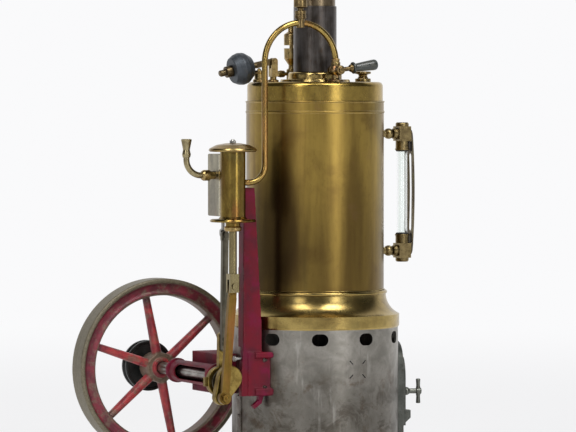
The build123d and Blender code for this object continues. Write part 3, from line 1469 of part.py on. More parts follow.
BLOCK_HALF = (3.75, 4.3, 4.3)
GLASS_AXIS = (GAUGE_X, 0, 0)
GLASS_ENDS = (GAUGE_Z[0] + 2.0, GAUGE_Z[1] - 2.0)


def gauge_fitting(height, inward):
    """One end of the water gauge: stem, ball, nut, block, cap and packing nut. inward is +1 or -1 in Z."""
    turn(
        [
            (0, BOILER_R - 1.4),
            (1.5, BOILER_R - 1.4),
            (1.5, BOILER_R + 0.6),
            (2.2, BOILER_R + 0.6),
            (1.9, 50.2),
            (2.9, 50.4, 0.2),
            (3.4, 51.4, 0.3),
            (3.4, 53.6),
            (0, 53.6),
        ],
        (0, 0, height),
        RIGHT,
    )
    with Locations((47.7, 0, height)):
        Sphere(3.15)
    low = tuple(c - h for c, h in zip((GAUGE_X, 0, height), BLOCK_HALF))
    high = tuple(c + h for c, h in zip((GAUGE_X, 0, height), BLOCK_HALF))
    block(low, high)
    turn(
        [(0, 4.0), (3.9, 4.0), (3.9, 5.8, 0.5), (3.3, 6.6, 0.4), (0, 6.6)],
        (GAUGE_X, 0, height),
        (0, 0, -inward),
    )
    turn(
        [(0, 4.0), (3.9, 4.0), (3.9, 8.6), (4.2, 8.8, 0.2), (4.2, 9.7, 0.2), (0, 9.7)],
        (GAUGE_X, 0, height),
        (0, 0, inward),
    )
    rod((GAUGE_X, 0, height + inward * 2), (GAUGE_X, 0, height + inward * 12), GLASS_R, mode=Mode.SUBTRACT)


with BuildPart() as gauge_fittings:
    gauge_fitting(GAUGE_Z[0], 1)
    gauge_fitting(GAUGE_Z[1], -1)
keep(gauge_fittings, "gauge_fittings")

with BuildPart() as gauge_glass:
    turn(
        [
            (GLASS_R - 0.9, GLASS_ENDS[0]),
            (GLASS_R, GLASS_ENDS[0]),
            (GLASS_R, GLASS_ENDS[1]),
            (GLASS_R - 0.9, GLASS_ENDS[1]),
        ],
        GLASS_AXIS,
    )
keep(gauge_glass, "gauge_glass")

GUARD_FACE_X = GAUGE_X + BLOCK_HALF[0]
with BuildPart() as gauge_guard:
    guard_middle = sum(GAUGE_Z) / 2
    with BuildSketch(Plane.XZ.offset(-4.0)) as guard_side:
        with BuildLine():
            Polyline(
                (GUARD_FACE_X, 130.0),
                (GUARD_FACE_X, 204.0),
                (GUARD_FACE_X + 1.0, 204.4),
                (GUARD_FACE_X + 1.6, 198.0),
            )
            ThreePointArc(
                (GUARD_FACE_X + 1.6, 198.0),
                (GUARD_FACE_X + 2.6, guard_middle),
                (GUARD_FACE_X + 1.6, 136.0),
            )
            Polyline((GUARD_FACE_X + 1.6, 136.0), (GUARD_FACE_X + 1.0, 129.6), (GUARD_FACE_X, 130.0))
        make_face()
    extrude(guard_side.sketch, amount=8.0)
    with BuildSketch(Plane.XZ.offset(-6.0)) as guard_hollow:
        with BuildLine():
            Polyline(
                (GUARD_FACE_X, 137.0),
                (GUARD_FACE_X + 0.9, 137.4),
                (GUARD_FACE_X + 1.3, guard_middle),
                (GUARD_FACE_X + 0.9, 196.4),
                (GUARD_FACE_X, 196.8),
                close=True,
            )
        make_face()
    extrude(guard_hollow.sketch, amount=12.0, mode=Mode.SUBTRACT)
    with BuildSketch(Plane.YZ.offset(GUARD_FACE_X - 1)) as guard_slot:
        with Locations((0, guard_middle)):
            SlotOverall(46.0, 4.6, rotation=90)
    extrude(guard_slot.sketch, amount=6, mode=Mode.SUBTRACT)
    with BuildSketch(Plane.YZ.offset(GUARD_FACE_X - 1)) as guard_outline:
        with Locations((0, guard_middle)):
            SlotOverall(74.8, 7.6, rotation=90)
    extrude(guard_outline.sketch, amount=6, mode=Mode.INTERSECT)
keep(gauge_guard, "gauge_guard")
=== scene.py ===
import json
from math import cos, radians, sin, tau

import bmesh
import bpy
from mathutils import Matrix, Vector


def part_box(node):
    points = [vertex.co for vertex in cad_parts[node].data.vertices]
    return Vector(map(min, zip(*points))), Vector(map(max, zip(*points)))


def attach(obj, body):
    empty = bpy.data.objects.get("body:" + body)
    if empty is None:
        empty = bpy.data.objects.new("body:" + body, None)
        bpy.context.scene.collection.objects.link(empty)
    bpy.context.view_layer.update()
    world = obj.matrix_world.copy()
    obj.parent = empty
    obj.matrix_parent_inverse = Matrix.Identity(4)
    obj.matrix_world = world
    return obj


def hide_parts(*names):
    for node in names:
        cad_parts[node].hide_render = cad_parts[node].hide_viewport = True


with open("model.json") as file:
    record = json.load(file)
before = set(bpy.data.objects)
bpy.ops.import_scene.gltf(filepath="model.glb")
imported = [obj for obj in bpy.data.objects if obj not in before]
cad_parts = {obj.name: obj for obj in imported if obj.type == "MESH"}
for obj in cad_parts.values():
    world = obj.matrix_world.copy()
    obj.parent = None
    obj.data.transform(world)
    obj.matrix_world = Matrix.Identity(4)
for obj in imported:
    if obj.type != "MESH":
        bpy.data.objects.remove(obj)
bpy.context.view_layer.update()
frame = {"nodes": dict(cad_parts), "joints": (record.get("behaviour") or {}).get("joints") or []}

MM = 0.001
UP = Vector((0, 0, 1))
nodes = frame["nodes"]
joints = {joint["name"]: joint for joint in frame["joints"]}


# ---- places taken from the frame ----------------------------------------------------------

def middle(node):
    """The centre of a CAD node's box."""
    low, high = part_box(node)
    return (low + high) / 2


SHAFT = Vector(joints["crankshaft_spin"]["pos_m"])
SAFETY_PIVOT = Vector(joints["safety_valve_lift"]["pos_m"])


# ---- camera -------------------------------------------------------------------------------

CAMERA_TURN = radians(25.5)
CAMERA_REACH = 2.325
CAMERA_HEIGHT = 0.224
AIM_HEIGHT = 0.1535
AIM_LEFT = 0.0157
LENS = 250
SENSOR_WIDTH = 36
VIEW_WAY = Vector((sin(CAMERA_TURN), cos(CAMERA_TURN), 0))
VIEW_RIGHT = Vector((cos(CAMERA_TURN), -sin(CAMERA_TURN), 0))


def aim(thing, target):
    """Turn a camera or a light toward a point."""
    thing.rotation_euler = (target - thing.location).to_track_quat("-Z", "Y").to_euler()


def make_camera():
    """A long lens, far away, level with the boiler's middle."""
    data = bpy.data.cameras.new("camera")
    data.lens = LENS
    data.sensor_width = SENSOR_WIDTH
    camera = bpy.data.objects.new("camera", data)
    bpy.context.scene.collection.objects.link(camera)
    camera.location = -VIEW_WAY * CAMERA_REACH + UP * CAMERA_HEIGHT
    aim(camera, UP * AIM_HEIGHT - VIEW_RIGHT * AIM_LEFT)
    bpy.context.scene.camera = camera


# ---- shader building ----------------------------------------------------------------------


class Shader:
    """A procedural material under construction. Coordinates are the object's own, in millimetres."""

    def __init__(self, name):
        self.material = bpy.data.materials.new(name)
        self.material.use_nodes = True
        self.tree = self.material.node_tree
        self.surface = self.tree.nodes["Principled BSDF"]
        coords = self.add("ShaderNodeTexCoord").outputs["Object"]
        scaled = self.add("ShaderNodeVectorMath", operation="SCALE")
        self.link(coords, scaled.inputs[0])
        scaled.inputs["Scale"].default_value = 1 / MM
        self.place = scaled.outputs[0]

    def add(self, kind, **settings):
        """A new shader node with its settings made."""
        node = self.tree.nodes.new(kind)
        for key, value in settings.items():
            setattr(node, key, value)
        return node

    def link(self, source, socket):
        self.tree.links.new(source, socket)

    def put(self, value, socket):
        """Set a socket from a number, a colour or another node's output."""
        if isinstance(value, bpy.types.NodeSocket):
            self.link(value, socket)
        elif isinstance(value, (tuple, list)) and len(value) == 3 and socket.type == "RGBA":
            socket.default_value = (*value, 1)
        else:
            socket.default_value = value

    def math(self, operation, a, b, clamp=False):
        """One sum on two values."""
        node = self.add("ShaderNodeMath", operation=operation, use_clamp=clamp)
        self.put(a, node.inputs[0])
        self.put(b, node.inputs[1])
        return node.outputs[0]

    def stretched(self, factors, centre=(0, 0, 0)):
        """The place, moved to a centre and scaled by axis."""
        moved = self.add("ShaderNodeVectorMath", operation="SUBTRACT")
        self.link(self.place, moved.inputs[0])
        moved.inputs[1].default_value = centre
        node = self.add("ShaderNodeVectorMath", operation="MULTIPLY")
        self.link(moved.outputs[0], node.inputs[0])
        node.inputs[1].default_value = factors
        return node.outputs[0]

    def noise(self, size, detail=4.0, rough=0.55, place=None, seed=0.0, warp=0.0):
        """Cloudy noise from 0 to 1, whose blotches are about size millimetres across."""
        node = self.add("ShaderNodeTexNoise", noise_dimensions="4D")
        self.link(place or self.place, node.inputs["Vector"])
        node.inputs["W"].default_value = seed
        node.inputs["Scale"].default_value = 1 / size
        node.inputs["Detail"].default_value = detail
        node.inputs["Roughness"].default_value = rough
        node.inputs["Distortion"].default_value = warp
        return node.outputs["Fac"]

    def ramp(self, value, low, high):
        """0 at low and 1 at high, held beyond them. low may be the larger number."""
        node = self.add("ShaderNodeMapRange", interpolation_type="SMOOTHSTEP")
        self.put(value, node.inputs["Value"])
        node.inputs["From Min"].default_value = low
        node.inputs["From Max"].default_value = high
        return node.outputs["Result"]

    def spread(self, value, low, high):
        """A 0 to 1 value carried to the range low to high."""
        node = self.add("ShaderNodeMapRange")
        self.put(value, node.inputs["Value"])
        node.inputs["To Min"].default_value = low
        node.inputs["To Max"].default_value = high
        return node.outputs["Result"]

    def mix(self, share, a, b):
        """Colour a where share is 0, and b where it is 1."""
        node = self.add("ShaderNodeMix", data_type="RGBA")
        self.put(share, node.inputs["Factor"])
        self.put(a, node.inputs["A"])
        self.put(b, node.inputs["B"])
        return node.outputs["Result"]

    def axis(self, index):
        """One coordinate of the place, in millimetres."""
        node = self.add("ShaderNodeSeparateXYZ")
        self.link(self.place, node.inputs[0])
        return node.outputs[index]

    def radius(self, centre, across):
        """Distance in millimetres from a line through centre. across zeroes the line's own direction."""
        node = self.add("ShaderNodeVectorMath", operation="LENGTH")
        self.link(self.stretched(across, tuple(c / MM for c in centre)), node.inputs[0])
        return node.outputs["Value"]

    def edges(self, width):
        """1 on sharp outer and inner edges within width millimetres, fading to 0."""
        bevel = self.add("ShaderNodeBevel", samples=4)
        bevel.inputs["Radius"].default_value = width * MM
        normal = self.add("ShaderNodeNewGeometry").outputs["Normal"]
        dot = self.add("ShaderNodeVectorMath", operation="DOT_PRODUCT")
        self.link(bevel.outputs[0], dot.inputs[0])
        self.link(normal, dot.inputs[1])
        return self.ramp(dot.outputs["Value"], 0.995, 0.86)

    def crevice(self, reach):
        """1 in narrow corners within reach millimetres, 0 on open surface."""
        node = self.add("ShaderNodeAmbientOcclusion", samples=4)
        node.inputs["Distance"].default_value = reach * MM
        return self.ramp(node.outputs["AO"], 0.85, 0.35)

    def bump(self, height, depth, strength=1.0):
        """Relief of depth millimetres. Several calls stack."""
        node = self.add("ShaderNodeBump")
        node.inputs["Strength"].default_value = strength
        node.inputs["Distance"].default_value = depth * MM
        self.link(height, node.inputs["Height"])
        if self.surface.inputs["Normal"].is_linked:
            self.link(self.surface.inputs["Normal"].links[0].from_socket, node.inputs["Normal"])
        self.link(node.outputs[0], self.surface.inputs["Normal"])

    def set(self, **values):
        """Set the surface's own sockets and hand over the finished material."""
        names = {"colour": "Base Color", "metal": "Metallic", "rough": "Roughness", "coat": "Coat Weight",
                 "sheen": "Sheen Weight", "glass": "Transmission Weight", "ior": "IOR",
                 "gloss": "Specular IOR Level"}
        for key, value in values.items():
            self.put(value, self.surface.inputs[names[key]])
        return self.material


# ---- materials ----------------------------------------------------------------------------

BROWN_TARNISH = (0.085, 0.048, 0.018)
COPPER_TINT = (0.50, 0.17, 0.07)
GREEN_TARNISH = (0.16, 0.17, 0.075)


def brass(name, bright, dull, rough=0.24, tarnish=0.5, streak=(1, 1, 1), brushed=(1, 1, 1), seed=0.0,
          copper=0.0, blotch=9.0, edge=0.5):
    """Aged brass: bright metal under an uneven, streaked tarnish, rubbed clean on its edges and lightened
    there as a painted highlight, with painted shade in its corners.
    """
    s = Shader(name)
    long_place = s.stretched(streak)
    cloud = s.noise(blotch, detail=5, place=long_place, seed=seed, warp=0.6)
    fine = s.noise(blotch / 5, detail=6, rough=0.65, seed=seed + 3)
    worn = s.ramp(s.math("ADD", s.math("MULTIPLY", cloud, 0.75), s.math("MULTIPLY", fine, 0.25)), 0.36, 0.64)
    colour = s.mix(worn, dull, bright)
    spots = s.ramp(s.noise(blotch * 0.9, detail=7, rough=0.7, place=long_place, seed=seed + 7), 0.52, 0.70)
    colour = s.mix(s.math("MULTIPLY", spots, tarnish), colour, BROWN_TARNISH)
    green = s.ramp(s.noise(blotch * 1.6, detail=4, seed=seed + 11), 0.56, 0.72)
    colour = s.mix(s.math("MULTIPLY", green, 0.45 * tarnish), colour, GREEN_TARNISH)
    if copper:
        blush = s.ramp(s.noise(blotch * 1.3, detail=3, place=long_place, seed=seed + 17), 0.50, 0.66)
        colour = s.mix(s.math("MULTIPLY", blush, copper), colour, COPPER_TINT)
    if edge:
        # Edges rubbed clean, and lightened past the bright metal as a painted highlight.
        rub = s.math("MULTIPLY", s.edges(0.35), s.spread(fine, edge * 0.4, edge))
        colour = s.mix(rub, colour, tuple(min(1.0, c * 1.5 + 0.05) for c in bright))
    # Painted shade: colour darkened to near black in narrow corners, where shade falls.
    painted_crevice_shade = s.math("MULTIPLY", s.crevice(1.6), 0.75)
    colour = s.mix(painted_crevice_shade, colour, (0.03, 0.02, 0.01))
    haze = s.noise(blotch * 0.6, detail=6, rough=0.7, place=long_place, seed=seed + 23)
    scratch = s.noise(0.22, detail=3, rough=0.8, place=s.stretched(brushed), seed=seed + 29)
    s.bump(scratch, 0.012, 0.5)
    s.bump(s.noise(3.5, detail=3, seed=seed + 31), 0.05, 0.35)
    return s.set(colour=colour, metal=1.0, rough=s.spread(haze, rough * 0.65, rough * 1.5))


def boiler_brass():
    """The boiler's rolled sheet: olive gold with long brown runs, and faint rolling marks; darker towards the
    bottom as painted shade, with a painted dark reflection beside the engine and a painted highlight on its
    edges.
    """
    s = Shader("boiler_brass")
    runs_place = s.stretched((1, 1, 0.10))
    runs = s.noise(13, detail=4, place=runs_place, seed=2.0, warp=0.4)
    cloud = s.noise(24, detail=5, seed=5.0, warp=0.5)
    fine = s.noise(2.2, detail=7, rough=0.7, place=s.stretched((1, 1, 0.5)), seed=9.0)
    colour = s.mix(s.ramp(runs, 0.34, 0.66), (0.215, 0.140, 0.038), (0.40, 0.272, 0.066))
    colour = s.mix(s.math("MULTIPLY", s.ramp(cloud, 0.46, 0.70), 0.55), colour, (0.150, 0.088, 0.028))
    colour = s.mix(s.math("MULTIPLY", s.ramp(fine, 0.50, 0.74), 0.25), colour, (0.10, 0.062, 0.022))
    green = s.ramp(s.noise(16, detail=3, place=runs_place, seed=14.0), 0.55, 0.72)
    colour = s.mix(s.math("MULTIPLY", green, 0.35), colour, (0.145, 0.140, 0.050))
    pink = s.ramp(s.noise(11, detail=3, seed=19.0), 0.60, 0.74)
    colour = s.mix(s.math("MULTIPLY", pink, 0.25), colour, (0.30, 0.17, 0.085))
    flecks = s.ramp(s.noise(0.9, detail=4, rough=0.75, seed=27.0), 0.66, 0.74)
    colour = s.mix(s.math("MULTIPLY", flecks, 0.5), colour, (0.07, 0.045, 0.02))
    # Painted shade: the colour darkens towards the bottom, where the lower sheet reflects the dim room.
    painted_low_shade = s.ramp(s.math("ADD", s.axis(2), s.spread(runs, -14, 14)), 196, 128)
    colour = s.mix(s.math("MULTIPLY", painted_low_shade, 0.55), colour, (0.072, 0.043, 0.016))
    # Painted reflection: a dark brown patch on the side towards the engine, standing in for the dark column
    # and room reflected there.
    near_engine = s.add("ShaderNodeVectorMath", operation="LENGTH")
    s.link(s.stretched((1, 1, 0.38), (-36, -21, 142)), near_engine.inputs[0])
    painted_dark_reflection = s.ramp(s.math("ADD", near_engine.outputs["Value"], s.spread(runs, -5, 5)), 25, 9)
    colour = s.mix(s.math("MULTIPLY", painted_dark_reflection, 0.82), colour, (0.030, 0.018, 0.009))
    # Painted highlight: every edge lightened to pale gold.
    edge = s.edges(0.4)
    colour = s.mix(s.math("MULTIPLY", edge, 0.5), colour, (0.75, 0.64, 0.38))
    rings = s.noise(0.35, detail=3, rough=0.7, place=s.stretched((0.02, 0.02, 1)), seed=33.0)
    s.bump(rings, 0.010, 0.45)
    s.bump(s.noise(9, detail=2, seed=37.0), 0.10, 0.35)
    haze = s.noise(7, detail=6, rough=0.7, seed=41.0)
    return s.set(colour=colour, metal=1.0, rough=s.spread(haze, 0.26, 0.40))


def sheet_steel():
    """The firebox's bare steel: mottled grey with brown stains, cleaner near its top."""
    s = Shader("firebox_steel")
    cloud = s.noise(11, detail=6, rough=0.6, seed=3.0, warp=0.8)
    fine = s.noise(1.6, detail=8, rough=0.75, seed=8.0)
    high = s.axis(2)
    colour = s.mix(s.ramp(cloud, 0.36, 0.64), (0.235, 0.222, 0.195), (0.345, 0.325, 0.290))
    colour = s.mix(s.math("MULTIPLY", s.ramp(fine, 0.44, 0.62), 0.55), colour, (0.27, 0.255, 0.225))
    stain = s.math("MULTIPLY", s.ramp(s.noise(14, detail=7, rough=0.7, seed=12.0, warp=1.0), 0.50, 0.66),
                   s.ramp(high, 80, 45))
    colour = s.mix(s.math("MULTIPLY", stain, 0.9), colour, (0.105, 0.060, 0.030))
    scorch = s.math("MULTIPLY", s.ramp(s.noise(20, detail=8, rough=0.72, seed=14.0, warp=0.8), 0.46, 0.60),
                    s.ramp(high, 74, 38))
    colour = s.mix(s.math("MULTIPLY", scorch, 0.85), colour, (0.060, 0.046, 0.032))
    soot = s.ramp(s.math("ADD", high, s.spread(cloud, -12, 12)), 84, 40)
    colour = s.mix(s.math("MULTIPLY", soot, 0.55), colour, (0.105, 0.095, 0.080))
    rust = s.ramp(s.noise(3.0, detail=8, rough=0.8, seed=16.0), 0.60, 0.70)
    colour = s.mix(s.math("MULTIPLY", rust, 0.6), colour, (0.20, 0.085, 0.04))
    pits = s.ramp(s.noise(1.0, detail=5, rough=0.75, seed=21.0), 0.62, 0.69)
    colour = s.mix(s.math("MULTIPLY", pits, 0.8), colour, (0.03, 0.026, 0.022))
    scuff = s.ramp(s.noise(5, detail=6, place=s.stretched((1, 1, 0.15)), seed=25.0), 0.58, 0.72)
    colour = s.mix(s.math("MULTIPLY", scuff, 0.45), colour, (0.58, 0.56, 0.52))
    # Painted highlight: every edge lightened to pale grey.
    colour = s.mix(s.math("MULTIPLY", s.edges(0.3), 0.6), colour, (0.62, 0.60, 0.56))
    s.bump(fine, 0.03, 0.6)
    s.bump(s.noise(12, detail=2, seed=29.0), 0.16, 0.4)
    return s.set(colour=colour, metal=1.0, rough=s.spread(cloud, 0.44, 0.30))


def steel(name, light, dark, rough=0.35, grain=(1, 1, 1), stain=0.4, seed=0.0, metal=1.0):
    """Turned or drawn steel with fine lines along its work direction and oil stains."""
    s = Shader(name)
    lines = s.noise(0.45, detail=4, rough=0.7, place=s.stretched(grain), seed=seed)
    cloud = s.noise(6, detail=5, seed=seed + 2)
    colour = s.mix(s.ramp(s.math("MULTIPLY", s.math("ADD", lines, cloud), 0.5), 0.36, 0.64), dark, light)
    spots = s.ramp(s.noise(3, detail=6, rough=0.7, seed=seed + 5), 0.54, 0.68)
    colour = s.mix(s.math("MULTIPLY", spots, stain), colour, (0.09, 0.06, 0.035))
    # Painted highlight: every edge lightened past the steel's light colour.
    colour = s.mix(s.math("MULTIPLY", s.edges(0.25), 0.45), colour, tuple(min(1, c * 1.7) for c in light))
    # Painted shade: colour darkened to near black in narrow corners.
    colour = s.mix(s.math("MULTIPLY", s.crevice(1.5), 0.7), colour, (0.02, 0.018, 0.015))
    s.bump(lines, 0.015, 0.6)
    return s.set(colour=colour, metal=metal, rough=s.spread(cloud, rough * 0.7, rough * 1.35))


EDGE_WEAR = 0.7
CHIP_WEAR = 0.7


def enamel(name, fresh, faded, tint, worn=(0.50, 0.33, 0.31), seed=0.0):
    """Old brushed enamel over a rough casting, chipped to a pale undercoat on its edges."""
    s = Shader(name)
    cloud = s.noise(14, detail=4, seed=seed, warp=0.5)
    fine = s.noise(1.4, detail=6, rough=0.7, seed=seed + 4)
    colour = s.mix(s.ramp(cloud, 0.38, 0.62), fresh, faded)
    tinted = s.ramp(s.noise(9, detail=3, seed=seed + 7), 0.50, 0.66)
    colour = s.mix(s.math("MULTIPLY", tinted, 0.75), colour, tint)
    grime = s.ramp(s.noise(3.2, detail=6, rough=0.7, seed=seed + 9), 0.56, 0.72)
    colour = s.mix(s.math("MULTIPLY", grime, 0.45), colour, (0.06, 0.022, 0.025))
    rub = s.math("MULTIPLY", s.edges(0.7), s.ramp(fine, 0.44, 0.62))
    chips = s.ramp(s.noise(1.1, detail=5, rough=0.75, seed=seed + 13), 0.68, 0.72)
    bare = s.math("MAXIMUM", s.math("MULTIPLY", rub, EDGE_WEAR), s.math("MULTIPLY", chips, CHIP_WEAR))
    colour = s.mix(bare, colour, worn)
    # Painted shade: colour darkened to near black in corners and recesses.
    colour = s.mix(s.math("MULTIPLY", s.crevice(3.0), 0.65), colour, (0.03, 0.008, 0.012))
    s.bump(s.noise(2.4, detail=4, seed=seed + 15), 0.12, 0.5)
    s.bump(bare, 0.05, -0.5)
    return s.set(colour=colour, metal=0.0, rough=s.spread(fine, 0.34, 0.60), gloss=0.22)


def flywheel_paint():
    """Red spokes and ring, worn to grey-beige metal on the tread, the rim's edges and the hub's ring."""
    s = Shader("flywheel_paint")
    out = s.radius(SHAFT, (1, 0, 1))
    fine = s.noise(1.2, detail=7, rough=0.72, seed=4.0)
    cloud = s.noise(8, detail=4, seed=9.0, warp=0.6)
    red = s.mix(s.ramp(cloud, 0.38, 0.62), (0.20, 0.016, 0.026), (0.43, 0.040, 0.042))
    # Painted shade: the rim, outside the spokes, takes a darker red for its recessed face.
    painted_shade_red = s.mix(s.ramp(cloud, 0.35, 0.65), (0.085, 0.010, 0.020), (0.20, 0.018, 0.035))
    colour = s.mix(s.ramp(out, 38, 41), red, painted_shade_red)
    brown = s.ramp(s.noise(4, detail=6, rough=0.7, seed=15.0), 0.54, 0.70)
    colour = s.mix(s.math("MULTIPLY", brown, 0.5), colour, (0.13, 0.055, 0.04))
    metal_colour = s.mix(s.ramp(fine, 0.38, 0.64), (0.145, 0.122, 0.078), (0.215, 0.190, 0.135))
    blotch = s.ramp(s.math("ADD", s.math("MULTIPLY", s.noise(7, detail=4, rough=0.6, seed=21.0), 0.7),
                           s.math("MULTIPLY", fine, 0.3)), 0.50, 0.60)
    tread = s.ramp(out, 49.4, 50.2)
    hub = s.math("MULTIPLY", s.ramp(out, 5.8, 6.3), s.ramp(out, 10.4, 8.6))
    edge = s.math("MULTIPLY", s.edges(1.0), 0.8)
    inner = s.math("MULTIPLY", s.ramp(out, 42.2, 42.8), s.ramp(out, 44.2, 43.6))
    bare = s.math("MAXIMUM", tread, s.math("MULTIPLY", hub, 0.85))
    bare = s.math("MAXIMUM", bare, s.math("MULTIPLY", inner, 0.8))
    bare = s.math("MAXIMUM", bare, s.math("MULTIPLY", s.math("ADD", blotch, edge), 0.55), clamp=True)
    colour = s.mix(bare, colour, metal_colour)
    # Painted shade: colour darkened to near black in corners.
    colour = s.mix(s.math("MULTIPLY", s.crevice(2.5), 0.6), colour, (0.03, 0.012, 0.012))
    s.bump(fine, 0.06, 0.6)
    s.bump(s.noise(4, detail=4, seed=27.0), 0.18, 0.5)
    return s.set(colour=colour, metal=s.math("MULTIPLY", bare, 0.55), rough=s.spread(fine, 0.34, 0.60))


def horn():
    """Turned dark horn with pale fibres along the handle, well polished."""
    s = Shader("dark_horn")
    fibres = s.noise(0.8, detail=5, rough=0.6, place=s.stretched((0.12, 1, 1)), seed=2.0, warp=0.8)
    cloud = s.noise(4, detail=3, seed=6.0)
    colour = s.mix(s.ramp(fibres, 0.38, 0.66), (0.022, 0.027, 0.025), (0.070, 0.074, 0.064))
    colour = s.mix(s.math("MULTIPLY", s.ramp(cloud, 0.5, 0.7), 0.5), colour, (0.10, 0.085, 0.055))
    s.bump(fibres, 0.03, 0.4)
    return s.set(colour=colour, metal=0.0, rough=s.spread(cloud, 0.22, 0.38), gloss=0.45, coat=0.15)


def clear_glass():
    """The gauge tube, faintly smeared along its length."""
    s = Shader("gauge_glass")
    smear = s.noise(4, detail=4, place=s.stretched((1, 1, 0.3)), seed=1.0)
    colour = s.mix(smear, (0.90, 0.96, 0.93), (1.0, 1.0, 1.0))
    s.bump(s.noise(3, detail=2, seed=5.0), 0.02, 0.3)
    return s.set(colour=colour, rough=s.spread(smear, 0.0, 0.05), glass=1.0, ior=1.47)


def wick_cotton():
    """Woven wick, charred at its top."""
    s = Shader("wick_cotton")
    weave = s.add("ShaderNodeTexVoronoi")
    s.link(s.place, weave.inputs["Vector"])
    weave.inputs["Scale"].default_value = 2.2
    char = s.ramp(s.axis(2), 29.0, 31.6)
    colour = s.mix(s.noise(1, detail=5, seed=2.0), (0.60, 0.55, 0.42), (0.82, 0.78, 0.66))
    colour = s.mix(char, colour, (0.03, 0.025, 0.02))
    s.bump(weave.outputs["Distance"], 0.35, 0.8)
    return s.set(colour=colour, rough=s.spread(s.noise(1.5, seed=8.0), 0.75, 0.95), sheen=0.3)


def rubber():
    """Dusty black packing."""
    s = Shader("packing_rubber")
    dust = s.noise(1.5, detail=6, rough=0.7, seed=3.0)
    colour = s.mix(s.ramp(dust, 0.45, 0.7), (0.018, 0.018, 0.017), (0.07, 0.065, 0.055))
    s.bump(dust, 0.05, 0.5)
    return s.set(colour=colour, rough=s.spread(dust, 0.5, 0.75))


DARK_GOLD = (0.26, 0.18, 0.065)


